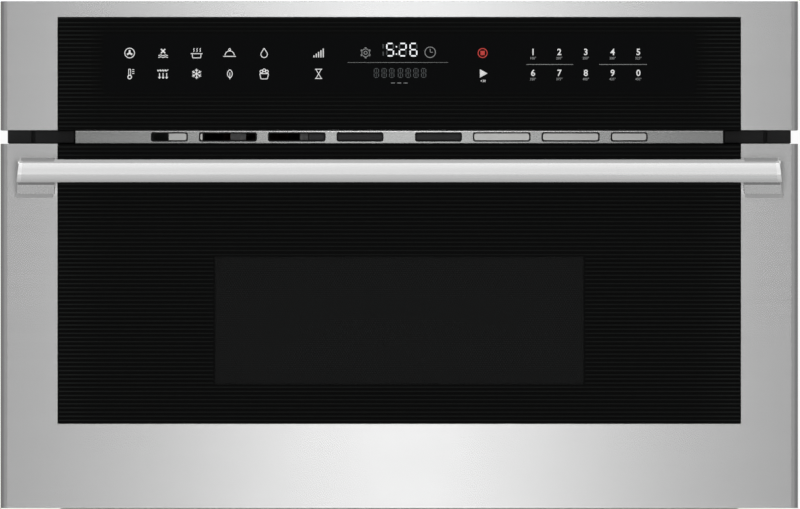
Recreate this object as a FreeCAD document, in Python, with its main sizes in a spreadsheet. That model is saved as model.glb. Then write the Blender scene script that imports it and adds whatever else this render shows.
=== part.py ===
import FreeCAD, Part
import math
import os
import re

import Sketcher

# Built-in microwave with a drop-down door, in millimetres.
# +X is to the right, +Y goes into the cabinet and +Z is up. The origin is the middle of the four
# cabinet screws, on the back of the flange, which is the plane of the cabinet's face.

SIZES = {
    # Front, seen from the room
    "front_width": 758.8,
    "front_height": 482.0,
    "front_drop": 200.0,
    "front_depth": 44.0,
    "control_height": 122.5,
    "vent_gap": 13.0,
    "side_band": 54.4,
    "top_band": 14.9,
    "bottom_band": 80.1,
    "skin": 1.0,
    "bend_radius": 3.0,
    "glass_thickness": 5.0,
    "glass_bevel": 0.6,
    "reveal": 0.5,
    # Flange and chassis
    "flange_side": 6.4,
    "flange_inset": 6.0,
    "frame_sheet": 1.5,
    "screw_side": 9.0,
    "screw_span_z": 250.0,
    "screw_hole_radius": 2.6,
    "chassis_side": 23.4,
    "chassis_drop": 27.0,
    "rear_room": 125.0,
    "base_rise": 19.0,
    "sheet": 1.0,
    "pan_lip": 9.0,
    "cover_lip": 16.0,
    "louvre_length": 44.0,
    "louvre_height": 4.0,
    "louvre_pitch": 11.0,
    # Oven cavity
    "cavity_side": 109.4,
    "ceiling_drop": 53.0,
    "cavity_depth": 380.0,
    "cavity_rise": 63.5,
    "cavity_sheet": 0.8,
    "mouth_radius": 6.0,
    # Turntable
    "tray_margin": 12.0,
    "dish_lap": 28.0,
    "track_lap": 60.0,
    "dish_depth": 4.0,
    "coupler_hole": 9.0,
    "tray_thickness": 5.0,
    "tray_rim": 12.0,
    "roller_radius": 9.0,
    "roller_width": 8.0,
    "ring_width": 8.0,
    "ring_height": 6.0,
    "axle_radius": 2.5,
    "motor_shaft_radius": 4.0,
    "turntable_motor_radius": 25.0,
    "turntable_motor_height": 18.0,
    "coupler_reach": 28.0,
    # Hot-air fan behind the cavity
    "hot_margin": 13.0,
    "port_room": 24.0,
    "hot_fan_room": 36.0,
    "heater_room": 17.0,
    "hot_housing_depth": 54.0,
    "hot_fan_height": 18.0,
    "heater_tube_radius": 3.3,
    "hot_motor_radius": 32.0,
    "hot_motor_length": 46.0,
    "fan_shaft_radius": 3.0,
    # Microwave source above the cavity
    "guide_width": 90.0,
    "guide_height": 40.0,
    "guide_length": 190.0,
    "guide_sheet": 1.0,
    "source_side": 156.0,
    "source_back": 60.0,
    "magnetron_body": 84.0,
    "magnetron_height": 62.0,
    "fin_sheet": 0.8,
    "fin_pitch": 7.0,
    "antenna_radius": 8.0,
    "antenna_length": 26.0,
    "filter_box_height": 28.0,
    "core_width": 100.0,
    "core_height": 84.0,
    "core_depth": 60.0,
    "core_limb": 18.0,
    "winding_bulge": 16.0,
    "capacitor_width": 56.0,
    "capacitor_depth": 36.0,
    "capacitor_height": 92.0,
    # Cooling fan at the back of the upper compartment
    "cool_fan_rise": 91.7,
    "cool_fan_radius": 55.0,
    "cool_hub_radius": 16.0,
    "cool_duct": 126.0,
    "cool_duct_depth": 34.0,
    "cool_motor_radius": 24.0,
    "cool_motor_length": 30.0,
    "blade_sheet": 1.6,
    "blade_chord": 20.0,
    # Vent strip between the control panel and the door
    "vent_side": 71.1,
    "vent_setback": 14.0,
    "vent_sheet": 1.2,
    "vent_slot_height": 9.2,
    "vent_slot_radius": 2.4,
    "vent_clearance": 0.8,
    "vent_end_groove": 3.0,
    # Control panel
    "housing_wall": 2.5,
    "board_side": 179.4,
    "board_height": 66.0,
    "board_sheet": 1.6,
    "display_width": 83.0,
    "display_height": 53.0,
    "display_drop": 59.0,
    # Door
    "door_clearance": 1.5,
    "choke_sheet": 1.2,
    "choke_depth": 9.0,
    "choke_cover": 4.0,
    "choke_overlap": 34.0,
    "window_side": 204.4,
    "window_drop": 107.2,
    "window_rise": 117.6,
    "window_lap": 15.0,
    "screen_sheet": 0.6,
    "inner_window": 3.0,
    "carrier_wall": 2.5,
    # Handle
    "handle_margin": 14.4,
    "bar_inset": 2.5,
    "bar_height": 22.5,
    "bar_depth": 18.0,
    "bar_chamfer": 4.4,
    "bar_drop": 14.9,
    "handle_reach": 50.0,
    "post_width": 36.0,
    "foot_height": 36.2,
    # Hinges and their cable-and-spring counterbalance
    "hinge_rise": 12.0,
    "hinge_setback": 24.0,
    "hinge_side": 59.4,
    "arm_sheet": 4.0,
    "arm_length": 66.0,
    "arm_width": 13.0,
    "eye_radius": 8.0,
    "pin_radius": 3.0,
    "running_gap": 0.05,
    "side_gap": 0.5,
    "ear_sheet": 2.5,
    "ear_radius": 6.0,
    "sector_radius": 20.0,
    "cable_radius": 1.0,
    "seat_gap": 0.3,
    "carriage_start": 60.0,
    "carriage_length": 30.0,
    "carriage_half_width": 7.2,
    "rail_sheet": 1.5,
    "rail_start": 14.0,
    "rail_end": 210.0,
    "rail_height": 19.0,
    "spring_coil_radius": 4.75,
    "spring_wire_radius": 0.75,
    "spring_turns": 24,
    # Latch tongues and interlock switches
    "latch_side": 54.4,
    "latch_rise": 21.5,
    "tongue_width": 12.0,
    "tongue_reach": 25.0,
    "switch_depth": 44.0,
    "switch_width": 24.0,
    "switch_height": 30.0,
    "plunger_radius": 2.0,
    "plunger_length": 15.7,
    # Supply-cord inlet and fasteners
    "gland_side": 56.0,
    "gland_rise": 71.0,
    "gland_bore": 5.0,
    "gland_body": 9.0,
    "gland_flange": 13.0,
    "gland_length": 16.0,
    "screw_head_radius": 4.2,
    "screw_head_height": 2.4,
    "screw_shank_radius": 1.7,
}

# Places worked out from the sizes above, each written once.
PLACES = {
    "half_front": "front_width / 2",
    "front_bottom": "-front_drop",
    "front_top": "front_height - front_drop",
    "front_face": "-front_depth",
    "frame_front": "-frame_sheet",
    "control_bottom": "front_top - control_height",
    "door_top": "control_bottom - vent_gap",
    "opening_half": "half_front - side_band",
    "glass_half": "opening_half - reveal",
    "glass_back": "front_face + glass_thickness",
    "flange_half": "half_front - flange_side",
    "screw_span_x": "2 * (flange_half - screw_side)",
    "flange_bottom": "front_bottom + flange_inset",
    "flange_top": "front_top - flange_inset",
    "half_chassis": "half_front - chassis_side",
    "base_z": "front_bottom + base_rise",
    "chassis_top": "front_top - chassis_drop",
    "chassis_depth": "cavity_depth + rear_room",
    "half_cavity": "half_front - cavity_side",
    "cavity_floor_z": "front_bottom + cavity_rise",
    "cavity_ceiling_z": "door_top - ceiling_drop",
    "cavity_height": "cavity_ceiling_z - cavity_floor_z",
    "deck_z": "cavity_ceiling_z + cavity_sheet",
    "track_z": "cavity_floor_z - dish_depth",
    "table_y": "cavity_depth / 2",
    "tray_radius": "table_y - tray_margin",
    "dish_radius": "tray_radius - dish_lap",
    "roller_track": "tray_radius - track_lap",
    "axle_z": "track_z + seat_gap + roller_radius",
    "tray_z": "axle_z + roller_radius + seat_gap",
    "dish_underside": "track_z - cavity_sheet",
    "hot_y": "cavity_depth + cavity_sheet",
    "hot_z": "(cavity_floor_z + cavity_ceiling_z) / 2",
    "hot_back": "hot_y + hot_housing_depth",
    "hot_housing_radius": "cavity_height / 2 - hot_margin",
    "hot_port_radius": "hot_housing_radius - port_room",
    "hot_fan_radius": "hot_housing_radius - hot_fan_room",
    "heater_ring_radius": "hot_housing_radius - heater_room",
    "magnetron_x": "half_chassis - source_side",
    "magnetron_y": "cavity_depth - source_back",
    "transformer_x": "-half_cavity * 0.52",
    "transformer_y": "cavity_depth * 0.63",
    "capacitor_x": "-half_cavity * 0.08",
    "capacitor_y": "cavity_depth * 0.4",
    "cool_fan_x": "half_chassis - source_side",
    "cool_fan_z": "deck_z + cool_fan_rise",
    "guide_top": "deck_z + guide_height",
    "guide_end": "magnetron_x + guide_width / 2",
    "guide_start": "guide_end - guide_length",
    "yoke_top": "guide_top + magnetron_height",
    "rear_face": "chassis_depth - sheet",
    "vent_front": "front_face + vent_setback",
    "vent_back": "vent_front + vent_sheet",
    "vent_low": "door_top + vent_clearance",
    "vent_high": "control_bottom - seat_gap",
    "vent_middle": "(vent_low + vent_high) / 2",
    "half_vent": "half_front - vent_side",
    "housing_front": "glass_back",
    "housing_inside": "housing_front + housing_wall",
    "board_width": "2 * (half_front - board_side)",
    "display_z": "front_top - display_drop",
    "cover_back": "frame_front - door_clearance",
    "choke_back": "cover_back - choke_cover",
    "choke_web": "choke_back - choke_sheet",
    "skin_back": "choke_back - choke_depth",
    "window_top": "door_top - window_drop",
    "window_bottom": "front_bottom + window_rise",
    "half_window": "half_front - window_side",
    "handle_span": "front_width - 2 * handle_margin",
    "bar_length": "handle_span - 2 * bar_inset",
    "bar_top": "door_top - bar_drop",
    "bar_bottom": "bar_top - bar_height",
    "bar_front": "front_face - handle_reach",
    "bar_back": "bar_front + bar_depth",
    "hinge_y": "-hinge_setback",
    "hinge_z": "front_bottom + hinge_rise",
    "hinge_x": "half_front - hinge_side",
    "cable_z": "hinge_z + sector_radius",
    "carriage_end": "carriage_start + carriage_length",
    "rail_half": "carriage_half_width + seat_gap",
    "pan_floor": "base_z + sheet",
    "latch_x": "half_front - latch_side",
    "latch_z": "cavity_ceiling_z + latch_rise",
    "tongue_tip": "choke_back + tongue_reach",
    "plunger_tip": "tongue_tip + seat_gap",
    "switch_well": "plunger_tip + 5",
    "gland_x": "gland_side - half_chassis",
    "gland_z": "base_z + gland_rise",
}

doc = FreeCAD.newDocument("built_in_microwave")
sheet = doc.addObject("Spreadsheet::Sheet", "Sizes")
for row, (alias, number) in enumerate(SIZES.items(), start=1):
    sheet.set(f"A{row}", alias)
    sheet.set(f"B{row}", str(number))
    sheet.setAlias(f"B{row}", alias)
doc.recompute()

parts = {}
WORD = re.compile(r"[A-Za-z_]\w*")
PLANE_ROLES = {"XY": "XY_Plane", "XZ": "XZ_Plane", "YZ": "YZ_Plane"}
SIDES = (-1, 1)


def ex(text):
    """Writes a size formula out in cells of the sheet."""

    def swap(match):
        word = match.group(0)
        if word in PLACES:
            return f"({ex(PLACES[word])})"
        return f"Sizes.{word}" if word in SIZES else word

    return WORD.sub(swap, str(text))


def val(text):
    """The number that a size formula gives now."""
    return float(sheet.evalExpression(ex(text)))


def bind(item, prop, text):
    """Ties one property of an object to a size formula."""
    item.setExpression(prop, ex(text))


def put(item, x="0", y="0", z="0"):
    """Ties an object's place to three size formulas."""
    for letter, text in zip("xyz", (x, y, z)):
        bind(item, f"Placement.Base.{letter}", text)
    return item


def keep(label, item):
    """Names a finished sub-part; its label names its file."""
    item.Label = label
    parts[label] = item
    return item


# Primitives and booleans


def box(name, x, y, z):
    """A block between two formulas on each axis."""
    item = doc.addObject("Part::Box", name)
    for prop, span in (("Length", x), ("Width", y), ("Height", z)):
        bind(item, prop, f"({span[1]}) - ({span[0]})")
    return put(item, x[0], y[0], z[0])


TURNS = {
    "x": FreeCAD.Rotation(FreeCAD.Vector(0, 1, 0), 90),
    "y": FreeCAD.Rotation(FreeCAD.Vector(1, 0, 0), -90),
    "z": FreeCAD.Rotation(),
}


def rod(name, axis, radius, start, length, at):
    """A round bar along one axis. at holds the formulas of the two other axes, in x, y, z order."""
    item = doc.addObject("Part::Cylinder", name)
    bind(item, "Radius", radius)
    bind(item, "Height", length)
    item.Placement = FreeCAD.Placement(FreeCAD.Vector(), TURNS[axis])
    centre = list(at)
    centre.insert("xyz".index(axis), start)
    return put(item, *centre)


def fuse(name, items):
    """Joins touching solids into one piece."""
    item = doc.addObject("Part::MultiFuse", name)
    item.Shapes = items
    item.Refine = True
    return item


def group(name, items):
    """Separate solids kept together in one sub-part."""
    item = doc.addObject("Part::Compound", name)
    item.Links = items
    return item


def mirrored(name, item):
    """The same piece on the other side of the middle plane."""
    twin = doc.addObject("Part::Mirroring", name)
    twin.Source = item
    twin.Normal = FreeCAD.Vector(1, 0, 0)
    return twin


def pair(label, item):
    """A right-hand piece and its left-hand twin."""
    return keep(label, group(f"{label}_pair", [item, mirrored(f"{label}_left", item)]))


# Sketches and features


def body(name):
    return doc.addObject("PartDesign::Body", name)


def sketch(owner, plane, at):
    """A sketch on one of the body's own planes, moved along the plane's axis to the formula at."""
    item = owner.newObject("Sketcher::SketchObject", f"{owner.Name}_sketch")
    role = PLANE_ROLES[plane]
    item.AttachmentSupport = [(f, "") for f in owner.Origin.OriginFeatures if f.Role == role]
    item.MapMode = "FlatFace"
    bind(item, "AttachmentOffset.Base.z", f"-({at})" if plane == "XZ" else at)
    return item


def fix(item, kind, places, text):
    """Adds a dimension to a sketch and ties it to a formula."""
    index = item.addConstraint(Sketcher.Constraint(kind, *places, val(text)))
    bind(item, f"Constraints[{index}]", text)


def fix_point(item, curve, end, x, y):
    fix(item, "DistanceX", (-1, 1, curve, end), x)
    fix(item, "DistanceY", (-1, 1, curve, end), y)


def polygon(item, points):
    """A closed outline with a corner at each pair of formulas."""
    first = item.GeometryCount
    count = len(points)
    corners = [FreeCAD.Vector(val(x), val(y), 0) for x, y in points]
    for n in range(count):
        item.addGeometry(Part.LineSegment(corners[n], corners[(n + 1) % count]), False)
    for n in range(count):
        following = first + (n + 1) % count
        item.addConstraint(Sketcher.Constraint("Coincident", first + n, 2, following, 1))
    for n, (x, y) in enumerate(points):
        fix_point(item, first + n, 1, x, y)


def rectangle(item, x, y):
    polygon(item, [(x[0], y[0]), (x[1], y[0]), (x[1], y[1]), (x[0], y[1])])


def circle(item, x, y, radius):
    place = FreeCAD.Vector(val(x), val(y), 0)
    index = item.addGeometry(Part.Circle(place, FreeCAD.Vector(0, 0, 1), val(radius)), False)
    fix_point(item, index, 3, x, y)
    fix(item, "Radius", (index,), radius)


def rounded(item, x, y, radius):
    """A rectangle with round corners: four sides and four tangent arcs."""
    low_x, high_x, low_y, high_y, r = (val(text) for text in (*x, *y, radius))
    first = item.GeometryCount
    ends = [
        ((low_x + r, low_y), (high_x - r, low_y)),
        ((high_x, low_y + r), (high_x, high_y - r)),
        ((high_x - r, high_y), (low_x + r, high_y)),
        ((low_x, high_y - r), (low_x, low_y + r)),
    ]
    for start, end in ends:
        item.addGeometry(Part.LineSegment(FreeCAD.Vector(*start, 0), FreeCAD.Vector(*end, 0)), False)
    centres = [
        (high_x - r, low_y + r, -90),
        (high_x - r, high_y - r, 0),
        (low_x + r, high_y - r, 90),
        (low_x + r, low_y + r, 180),
    ]
    for cx, cy, start in centres:
        whole = Part.Circle(FreeCAD.Vector(cx, cy, 0), FreeCAD.Vector(0, 0, 1), r)
        arc = Part.ArcOfCircle(whole, math.radians(start), math.radians(start + 90))
        item.addGeometry(arc, False)
    for n in range(4):
        arc = first + 4 + n
        item.addConstraint(Sketcher.Constraint("Tangent", first + n, 2, arc, 1))
        item.addConstraint(Sketcher.Constraint("Tangent", arc, 2, first + (n + 1) % 4, 1))
        kind = "Vertical" if n % 2 else "Horizontal"
        item.addConstraint(Sketcher.Constraint(kind, first + n))
        if n:
            item.addConstraint(Sketcher.Constraint("Equal", first + 4, arc))
    fix(item, "Radius", (first + 4,), radius)
    fix(item, "DistanceY", (-1, 1, first, 1), y[0])
    fix(item, "DistanceX", (-1, 1, first + 1, 1), x[1])
    fix(item, "DistanceY", (-1, 1, first + 2, 1), y[1])
    fix(item, "DistanceX", (-1, 1, first + 3, 1), x[0])


def pad(owner, plane, low, high, draw):
    """Adds what draw outlines, between two formulas on the plane's axis."""
    profile = sketch(owner, plane, high if plane == "XZ" else low)
    draw(profile)
    feature = owner.newObject("PartDesign::Pad", f"{owner.Name}_pad")
    feature.Profile = profile
    bind(feature, "Length", f"({high}) - ({low})")
    profile.Visibility = False
    return feature


def pocket(owner, plane, low, high, draw):
    """Takes out what draw outlines, between two formulas on the plane's axis."""
    profile = sketch(owner, plane, low if plane == "XZ" else high)
    draw(profile)
    feature = owner.newObject("PartDesign::Pocket", f"{owner.Name}_pocket")
    feature.Profile = profile
    bind(feature, "Length", f"({high}) - ({low})")
    return feature


def revolve(owner, plane, draw):
    """Turns a profile about the sketch's upright axis."""
    profile = sketch(owner, plane, "0")
    draw(profile)
    feature = owner.newObject("PartDesign::Revolution", f"{owner.Name}_turning")
    feature.Profile = profile
    feature.ReferenceAxis = (profile, ["V_Axis"])
    feature.Angle = 360
    return feature


def line_pattern(owner, feature, axis, step, count):
    """Repeats a feature count times along an axis of its own sketch."""
    pattern = owner.newObject("PartDesign::LinearPattern", f"{owner.Name}_row")
    pattern.Originals = [feature]
    pattern.Direction = (feature.Profile[0], [axis])
    bind(pattern, "Length", f"({step}) * ({count - 1})")
    pattern.Occurrences = count
    owner.Tip = pattern
    return pattern


def origin_axis(owner, role):
    return [f for f in owner.Origin.OriginFeatures if f.Role == role][0]


def ring_pattern(owner, feature, axis, count):
    """Repeats a feature evenly round an axis of its own sketch, or round the body's Y."""
    pattern = owner.newObject("PartDesign::PolarPattern", f"{owner.Name}_ring")
    pattern.Originals = [feature]
    pattern.Axis = (feature.Profile[0], [axis]) if axis != "Y" else (origin_axis(owner, "Y_Axis"), [""])
    pattern.Angle = 360
    pattern.Occurrences = count
    owner.Tip = pattern
    return pattern


def edges_where(shape, test):
    return [f"Edge{n}" for n, edge in enumerate(shape.Edges, start=1) if test(edge)]


def soften(owner, radius, test, kind="Fillet"):
    """Rounds or bevels the edges of the body's last feature that pass the test."""
    doc.recompute()
    base = owner.Tip
    feature = owner.newObject(f"PartDesign::{kind}", f"{owner.Name}_{kind.lower()}")
    feature.Base = (base, edges_where(base.Shape, test))
    bind(feature, "Radius" if kind == "Fillet" else "Size", radius)
    return feature


def runs_along(edge, axis):
    """True for a straight edge along x, y or z."""
    if edge.Curve.TypeId != "Part::GeomLine":
        return False
    return abs(abs(getattr(edge.Curve.Direction, axis)) - 1) < 1e-6


def lies_at(edge, axis, text):
    return abs(getattr(edge.CenterOfMass, axis) - val(text)) < 1e-3


# Front frame, chassis panels and cavity


def build_front_frame():
    frame = body("front_frame")
    half, low, high = "flange_half", "flange_bottom", "flange_top"
    pad(frame, "XZ", "frame_front", "0", lambda s: rectangle(s, (f"-{half}", half), (low, high)))

    def mouth(s):
        x = ("-half_cavity", "half_cavity")
        rounded(s, x, ("cavity_floor_z", "cavity_ceiling_z"), "mouth_radius")

    def vents(s):
        rectangle(s, ("-half_vent + 8", "half_vent - 8"), ("vent_low + 2", "vent_high - 2"))

    def slots(s):
        for side in SIDES:
            ends = sorted((1, -1), key=lambda k: k * side)
            latch = [f"{side} * (latch_x + {k} * (tongue_width / 2 + 2))" for k in ends]
            rectangle(s, latch, ("latch_z - 11", "latch_z + 12"))
            cable = [f"{side} * (hinge_x + {k} * 4)" for k in ends]
            rectangle(s, cable, ("cable_z - 4", "cable_z + 4"))

    def cabinet_screws(s):
        for side in SIDES:
            for level in SIDES:
                x, z = f"{side} * screw_span_x / 2", f"{level} * screw_span_z / 2"
                circle(s, x, z, "screw_hole_radius")

    for opening in (mouth, vents, slots, cabinet_screws):
        pocket(frame, "XZ", "frame_front", "0", opening)
    keep("front_frame", frame)


def build_base_pan():
    pan = body("base_pan")
    half, back = "(half_chassis - sheet)", "rear_face"
    top = "(base_z + pan_lip)"
    pad(pan, "XY", "base_z", top, lambda s: rectangle(s, (f"-{half}", half), ("0", back)))

    def inside(s):
        x = (f"-{half} + sheet", f"{half} - sheet")
        rectangle(s, x, ("sheet", f"{back} - sheet"))

    pocket(pan, "XY", "pan_floor", top, inside)

    def rails(s):
        for side in SIDES:
            for wall in SIDES:
                inner, outer = "rail_half", "(rail_half + rail_sheet)"
                ends = sorted((inner, outer), key=lambda t: side * wall * val(t))
                x = [f"{side} * (hinge_x + {wall} * {e})" for e in ends]
                rectangle(s, x, ("rail_start", "rail_end"))

    pad(pan, "XY", "pan_floor", "pan_floor + rail_height", rails)

    def anchors(s):
        for side in SIDES:
            ends = sorted((-1, 1), key=lambda k: k * side)
            x = [f"{side} * (hinge_x + {k} * rail_half)" for k in ends]
            rectangle(s, x, ("rail_end - 2 * rail_sheet", "rail_end"))

    pad(pan, "XY", "pan_floor", "pan_floor + rail_height", anchors)

    def intake(s):
        for side in SIDES:
            ends = sorted((0.5, -0.5), key=lambda k: k * side)
            x = [f"{side} * half_chassis * 0.4 + {side * k} * louvre_length" for k in ends]
            rounded(s, x, ("rail_end + 40", "rail_end + 40 + louvre_height"), "louvre_height / 2 - 0.1")

    slots = pocket(pan, "XY", "base_z", "pan_floor", intake)
    line_pattern(pan, slots, "V_Axis", "louvre_pitch", 10)
    keep("base_pan", pan)


def build_side_panel(label, side):
    panel = body(label)
    inner, outer = f"{side} * (half_chassis - sheet)", f"{side} * half_chassis"
    low, high = (inner, outer) if side > 0 else (outer, inner)
    outline = ("0", "chassis_depth"), ("base_z", "chassis_top")
    pad(panel, "YZ", low, high, lambda s: rectangle(s, *outline))

    def louvre(s):
        z = ("chassis_top - 60", "chassis_top - 60 + louvre_height")
        for n in range(4):
            y = [f"chassis_depth - 80 - {n} * (louvre_length + 14) - {k} * louvre_length" for k in (1, 0)]
            rounded(s, y, z, "louvre_height / 2 - 0.1")

    row = pocket(panel, "YZ", low, high, louvre)
    pattern = line_pattern(panel, row, "V_Axis", "louvre_pitch", 8)
    pattern.Reversed = True
    keep(label, panel)


def build_top_cover():
    cover = body("top_cover")
    inside, outside = "half_chassis", "(half_chassis + sheet)"
    lip, under, over = "chassis_top - cover_lip", "chassis_top", "chassis_top + sheet"
    outline = [
        (f"-{outside}", lip),
        (f"-{inside}", lip),
        (f"-{inside}", under),
        (inside, under),
        (inside, lip),
        (outside, lip),
        (outside, over),
        (f"-{outside}", over),
    ]
    pad(cover, "XZ", "0", "chassis_depth", lambda s: polygon(s, outline))
    keep("top_cover", cover)


def rear_screw_places():
    """Where the rear panel is screwed on, round its edge."""
    columns = ("-half_chassis + 8", "-half_chassis / 3", "half_chassis / 3", "half_chassis - 8")
    return [(x, z) for x in columns for z in ("base_z + pan_lip / 2", "chassis_top - 8")]


def build_rear_panel():
    panel = body("rear_panel")
    half = "(half_chassis - sheet)"
    back, front = "chassis_depth", "rear_face"
    outline = (f"-{half}", half), ("base_z", "chassis_top")
    pad(panel, "XZ", front, back, lambda s: rectangle(s, *outline))

    def grille(s):
        radius = "cool_fan_radius - 6"
        z = (f"cool_fan_z - ({radius})", f"cool_fan_z - ({radius}) + louvre_height")
        rounded(s, ("cool_fan_x - 46", "cool_fan_x - 3"), z, "louvre_height / 2 - 0.1")
        rounded(s, ("cool_fan_x + 3", "cool_fan_x + 46"), z, "louvre_height / 2 - 0.1")

    slots = pocket(panel, "XZ", front, back, grille)
    line_pattern(panel, slots, "V_Axis", "louvre_pitch - 1", 10)

    def holes(s):
        circle(s, "gland_x", "gland_z", "gland_body + running_gap")
        for x, z in rear_screw_places():
            circle(s, x, z, "screw_shank_radius")

    pocket(panel, "XZ", front, back, holes)
    keep("rear_panel", panel)


def build_cavity_floor():
    floor = body("cavity_floor")
    under = "cavity_floor_z - cavity_sheet"
    outline = ("-half_cavity", "half_cavity"), ("-table_y", "cavity_depth - table_y")
    pad(floor, "XY", under, "cavity_floor_z", lambda s: rectangle(s, *outline))
    pocket(floor, "XY", under, "cavity_floor_z", lambda s: circle(s, "0", "0", "dish_radius + 2"))

    def dish(s):
        slope = "dish_radius - dish_depth"
        polygon(
            s,
            [
                ("coupler_hole", "track_z"),
                (slope, "track_z"),
                ("dish_radius", "cavity_floor_z"),
                ("dish_radius + 3", "cavity_floor_z"),
                ("dish_radius + 3", under),
                ("dish_radius + 0.35", under),
                (f"{slope} + 0.35", "dish_underside"),
                ("coupler_hole", "dish_underside"),
            ],
        )

    revolve(floor, "XZ", dish)
    put(floor, y="table_y")
    keep("cavity_floor", floor)


def build_cavity_ceiling():
    ceiling = body("cavity_ceiling")
    half = "(half_cavity + cavity_sheet)"
    outline = (f"-{half}", half), ("0", "cavity_depth")
    pad(ceiling, "XY", "cavity_ceiling_z", "deck_z", lambda s: rectangle(s, *outline))

    def port(s):
        x = ("guide_start + 12", "guide_start + 62")
        rectangle(s, x, ("magnetron_y - guide_width / 2 + 6", "magnetron_y + guide_width / 2 - 6"))

    pocket(ceiling, "XY", "cavity_ceiling_z", "deck_z", port)
    keep("cavity_ceiling", ceiling)


def build_cavity_wall(label, side, rows, columns):
    """A side wall with a patch of holes for light or for steam."""
    wall = body(label)
    inner, outer = f"{side} * half_cavity", f"{side} * (half_cavity + cavity_sheet)"
    low, high = (inner, outer) if side > 0 else (outer, inner)
    outline = ("0", "cavity_depth"), ("cavity_floor_z - cavity_sheet", "cavity_ceiling_z")
    pad(wall, "YZ", low, high, lambda s: rectangle(s, *outline))

    def holes(s):
        for n in range(columns):
            circle(s, f"cavity_depth / 3 + {n} * 9", "cavity_ceiling_z - 34", "3")

    column = pocket(wall, "YZ", low, high, holes)
    pattern = line_pattern(wall, column, "V_Axis", "9", rows)
    pattern.Reversed = True
    keep(label, wall)


def build_cavity_rear_wall():
    wall = body("cavity_rear_wall")
    half = "(half_cavity + cavity_sheet)"
    outline = (f"-{half}", half), ("cavity_floor_z - cavity_sheet", "deck_z")
    pad(wall, "XZ", "cavity_depth", "hot_y", lambda s: rectangle(s, *outline))
    pocket(wall, "XZ", "cavity_depth", "hot_y", lambda s: circle(s, "0", "hot_z", "hot_port_radius"))
    keep("cavity_rear_wall", wall)


# Turntable


def build_turntable():
    motor = body("turntable_motor")
    top, radius = "dish_underside", "turntable_motor_radius"
    bottom = "dish_underside - turntable_motor_height"
    pad(motor, "XY", bottom, top, lambda s: circle(s, "0", "0", radius))

    def ears(s):
        for side in SIDES:
            ends = sorted((-6, 6), key=lambda k: k * side)
            x = [f"{side} * (turntable_motor_radius + {k})" for k in ends]
            rounded(s, x, ("-5", "5"), "4")

    pad(motor, "XY", f"{top} - 1.5", top, ears)
    bore = "motor_shaft_radius + running_gap"
    pocket(motor, "XY", bottom, top, lambda s: circle(s, "0", "0", bore))
    keep("turntable_motor", put(motor, y="table_y"))

    coupler = body("drive_coupler")
    plate_top = "tray_z - seat_gap"
    shaft = ("dish_underside - turntable_motor_height + 3", "track_z + 2")
    pad(coupler, "XY", *shaft, lambda s: circle(s, "0", "0", "motor_shaft_radius"))
    pad(coupler, "XY", "track_z + 2", plate_top, lambda s: circle(s, "0", "0", "coupler_hole + 2"))

    def lobe(s):
        rounded(s, ("0", "coupler_reach"), ("-6", "6"), "5.5")

    arm = pad(coupler, "XY", f"{plate_top} - 9", plate_top, lobe)
    ring_pattern(coupler, arm, "N_Axis", 3)
    keep("drive_coupler", put(coupler, y="table_y"))

    tray = body("glass_tray")
    thick, rim = "tray_z + tray_thickness", "tray_z + tray_thickness + tray_rim"

    def plate(s):
        polygon(
            s,
            [
                ("0", "tray_z"),
                ("tray_radius - tray_rim", "tray_z"),
                ("tray_radius - 2", f"{rim} - tray_thickness"),
                ("tray_radius", f"{rim} - 1"),
                ("tray_radius - 2", rim),
                ("tray_radius - tray_thickness", f"{rim} - 1.5"),
                ("tray_radius - tray_rim - tray_thickness", thick),
                ("0", thick),
            ],
        )

    revolve(tray, "XZ", plate)
    keep("glass_tray", put(tray, y="table_y"))

    ring = body("roller_ring")
    low, high = "axle_z - ring_height / 2", "axle_z + ring_height / 2"
    outer = "roller_track - roller_width / 2 - side_gap"

    def band(s):
        circle(s, "0", "0", outer)
        circle(s, "0", "0", f"{outer} - ring_width")

    pad(ring, "XY", low, high, band)
    stub_ends = f"{outer} - ring_width / 2", "roller_track + roller_width / 2 + 3"
    stub = pad(ring, "YZ", *stub_ends, lambda s: circle(s, "0", "axle_z", "axle_radius"))
    ring_pattern(ring, stub, "V_Axis", 3)
    keep("roller_ring", put(ring, y="table_y"))

    for number in range(3):
        build_roller(number)


def build_roller(number):
    """One wheel of the ring, turned on its lathe axis and set round the track."""
    roller = body(f"roller_{number + 1}")
    half = "roller_width / 2"

    def tyre(s):
        bore = "axle_radius + running_gap"
        polygon(
            s,
            [
                (bore, f"-{half}"),
                ("roller_radius - 1", f"-{half}"),
                ("roller_radius", f"-{half} + 1"),
                ("roller_radius", f"{half} - 1"),
                ("roller_radius - 1", half),
                (bore, half),
            ],
        )

    revolve(roller, "XY", tyre)
    angle = 120 * number
    roller.Placement = FreeCAD.Placement(
        FreeCAD.Vector(), FreeCAD.Rotation(FreeCAD.Vector(0, 0, 1), angle - 90)
    )
    put(roller, f"roller_track * cos({angle})", f"table_y + roller_track * sin({angle})", "axle_z")
    keep(f"roller_{number + 1}", roller)


# Hot-air fan behind the cavity


HEATER_SWEEP = 345


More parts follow.
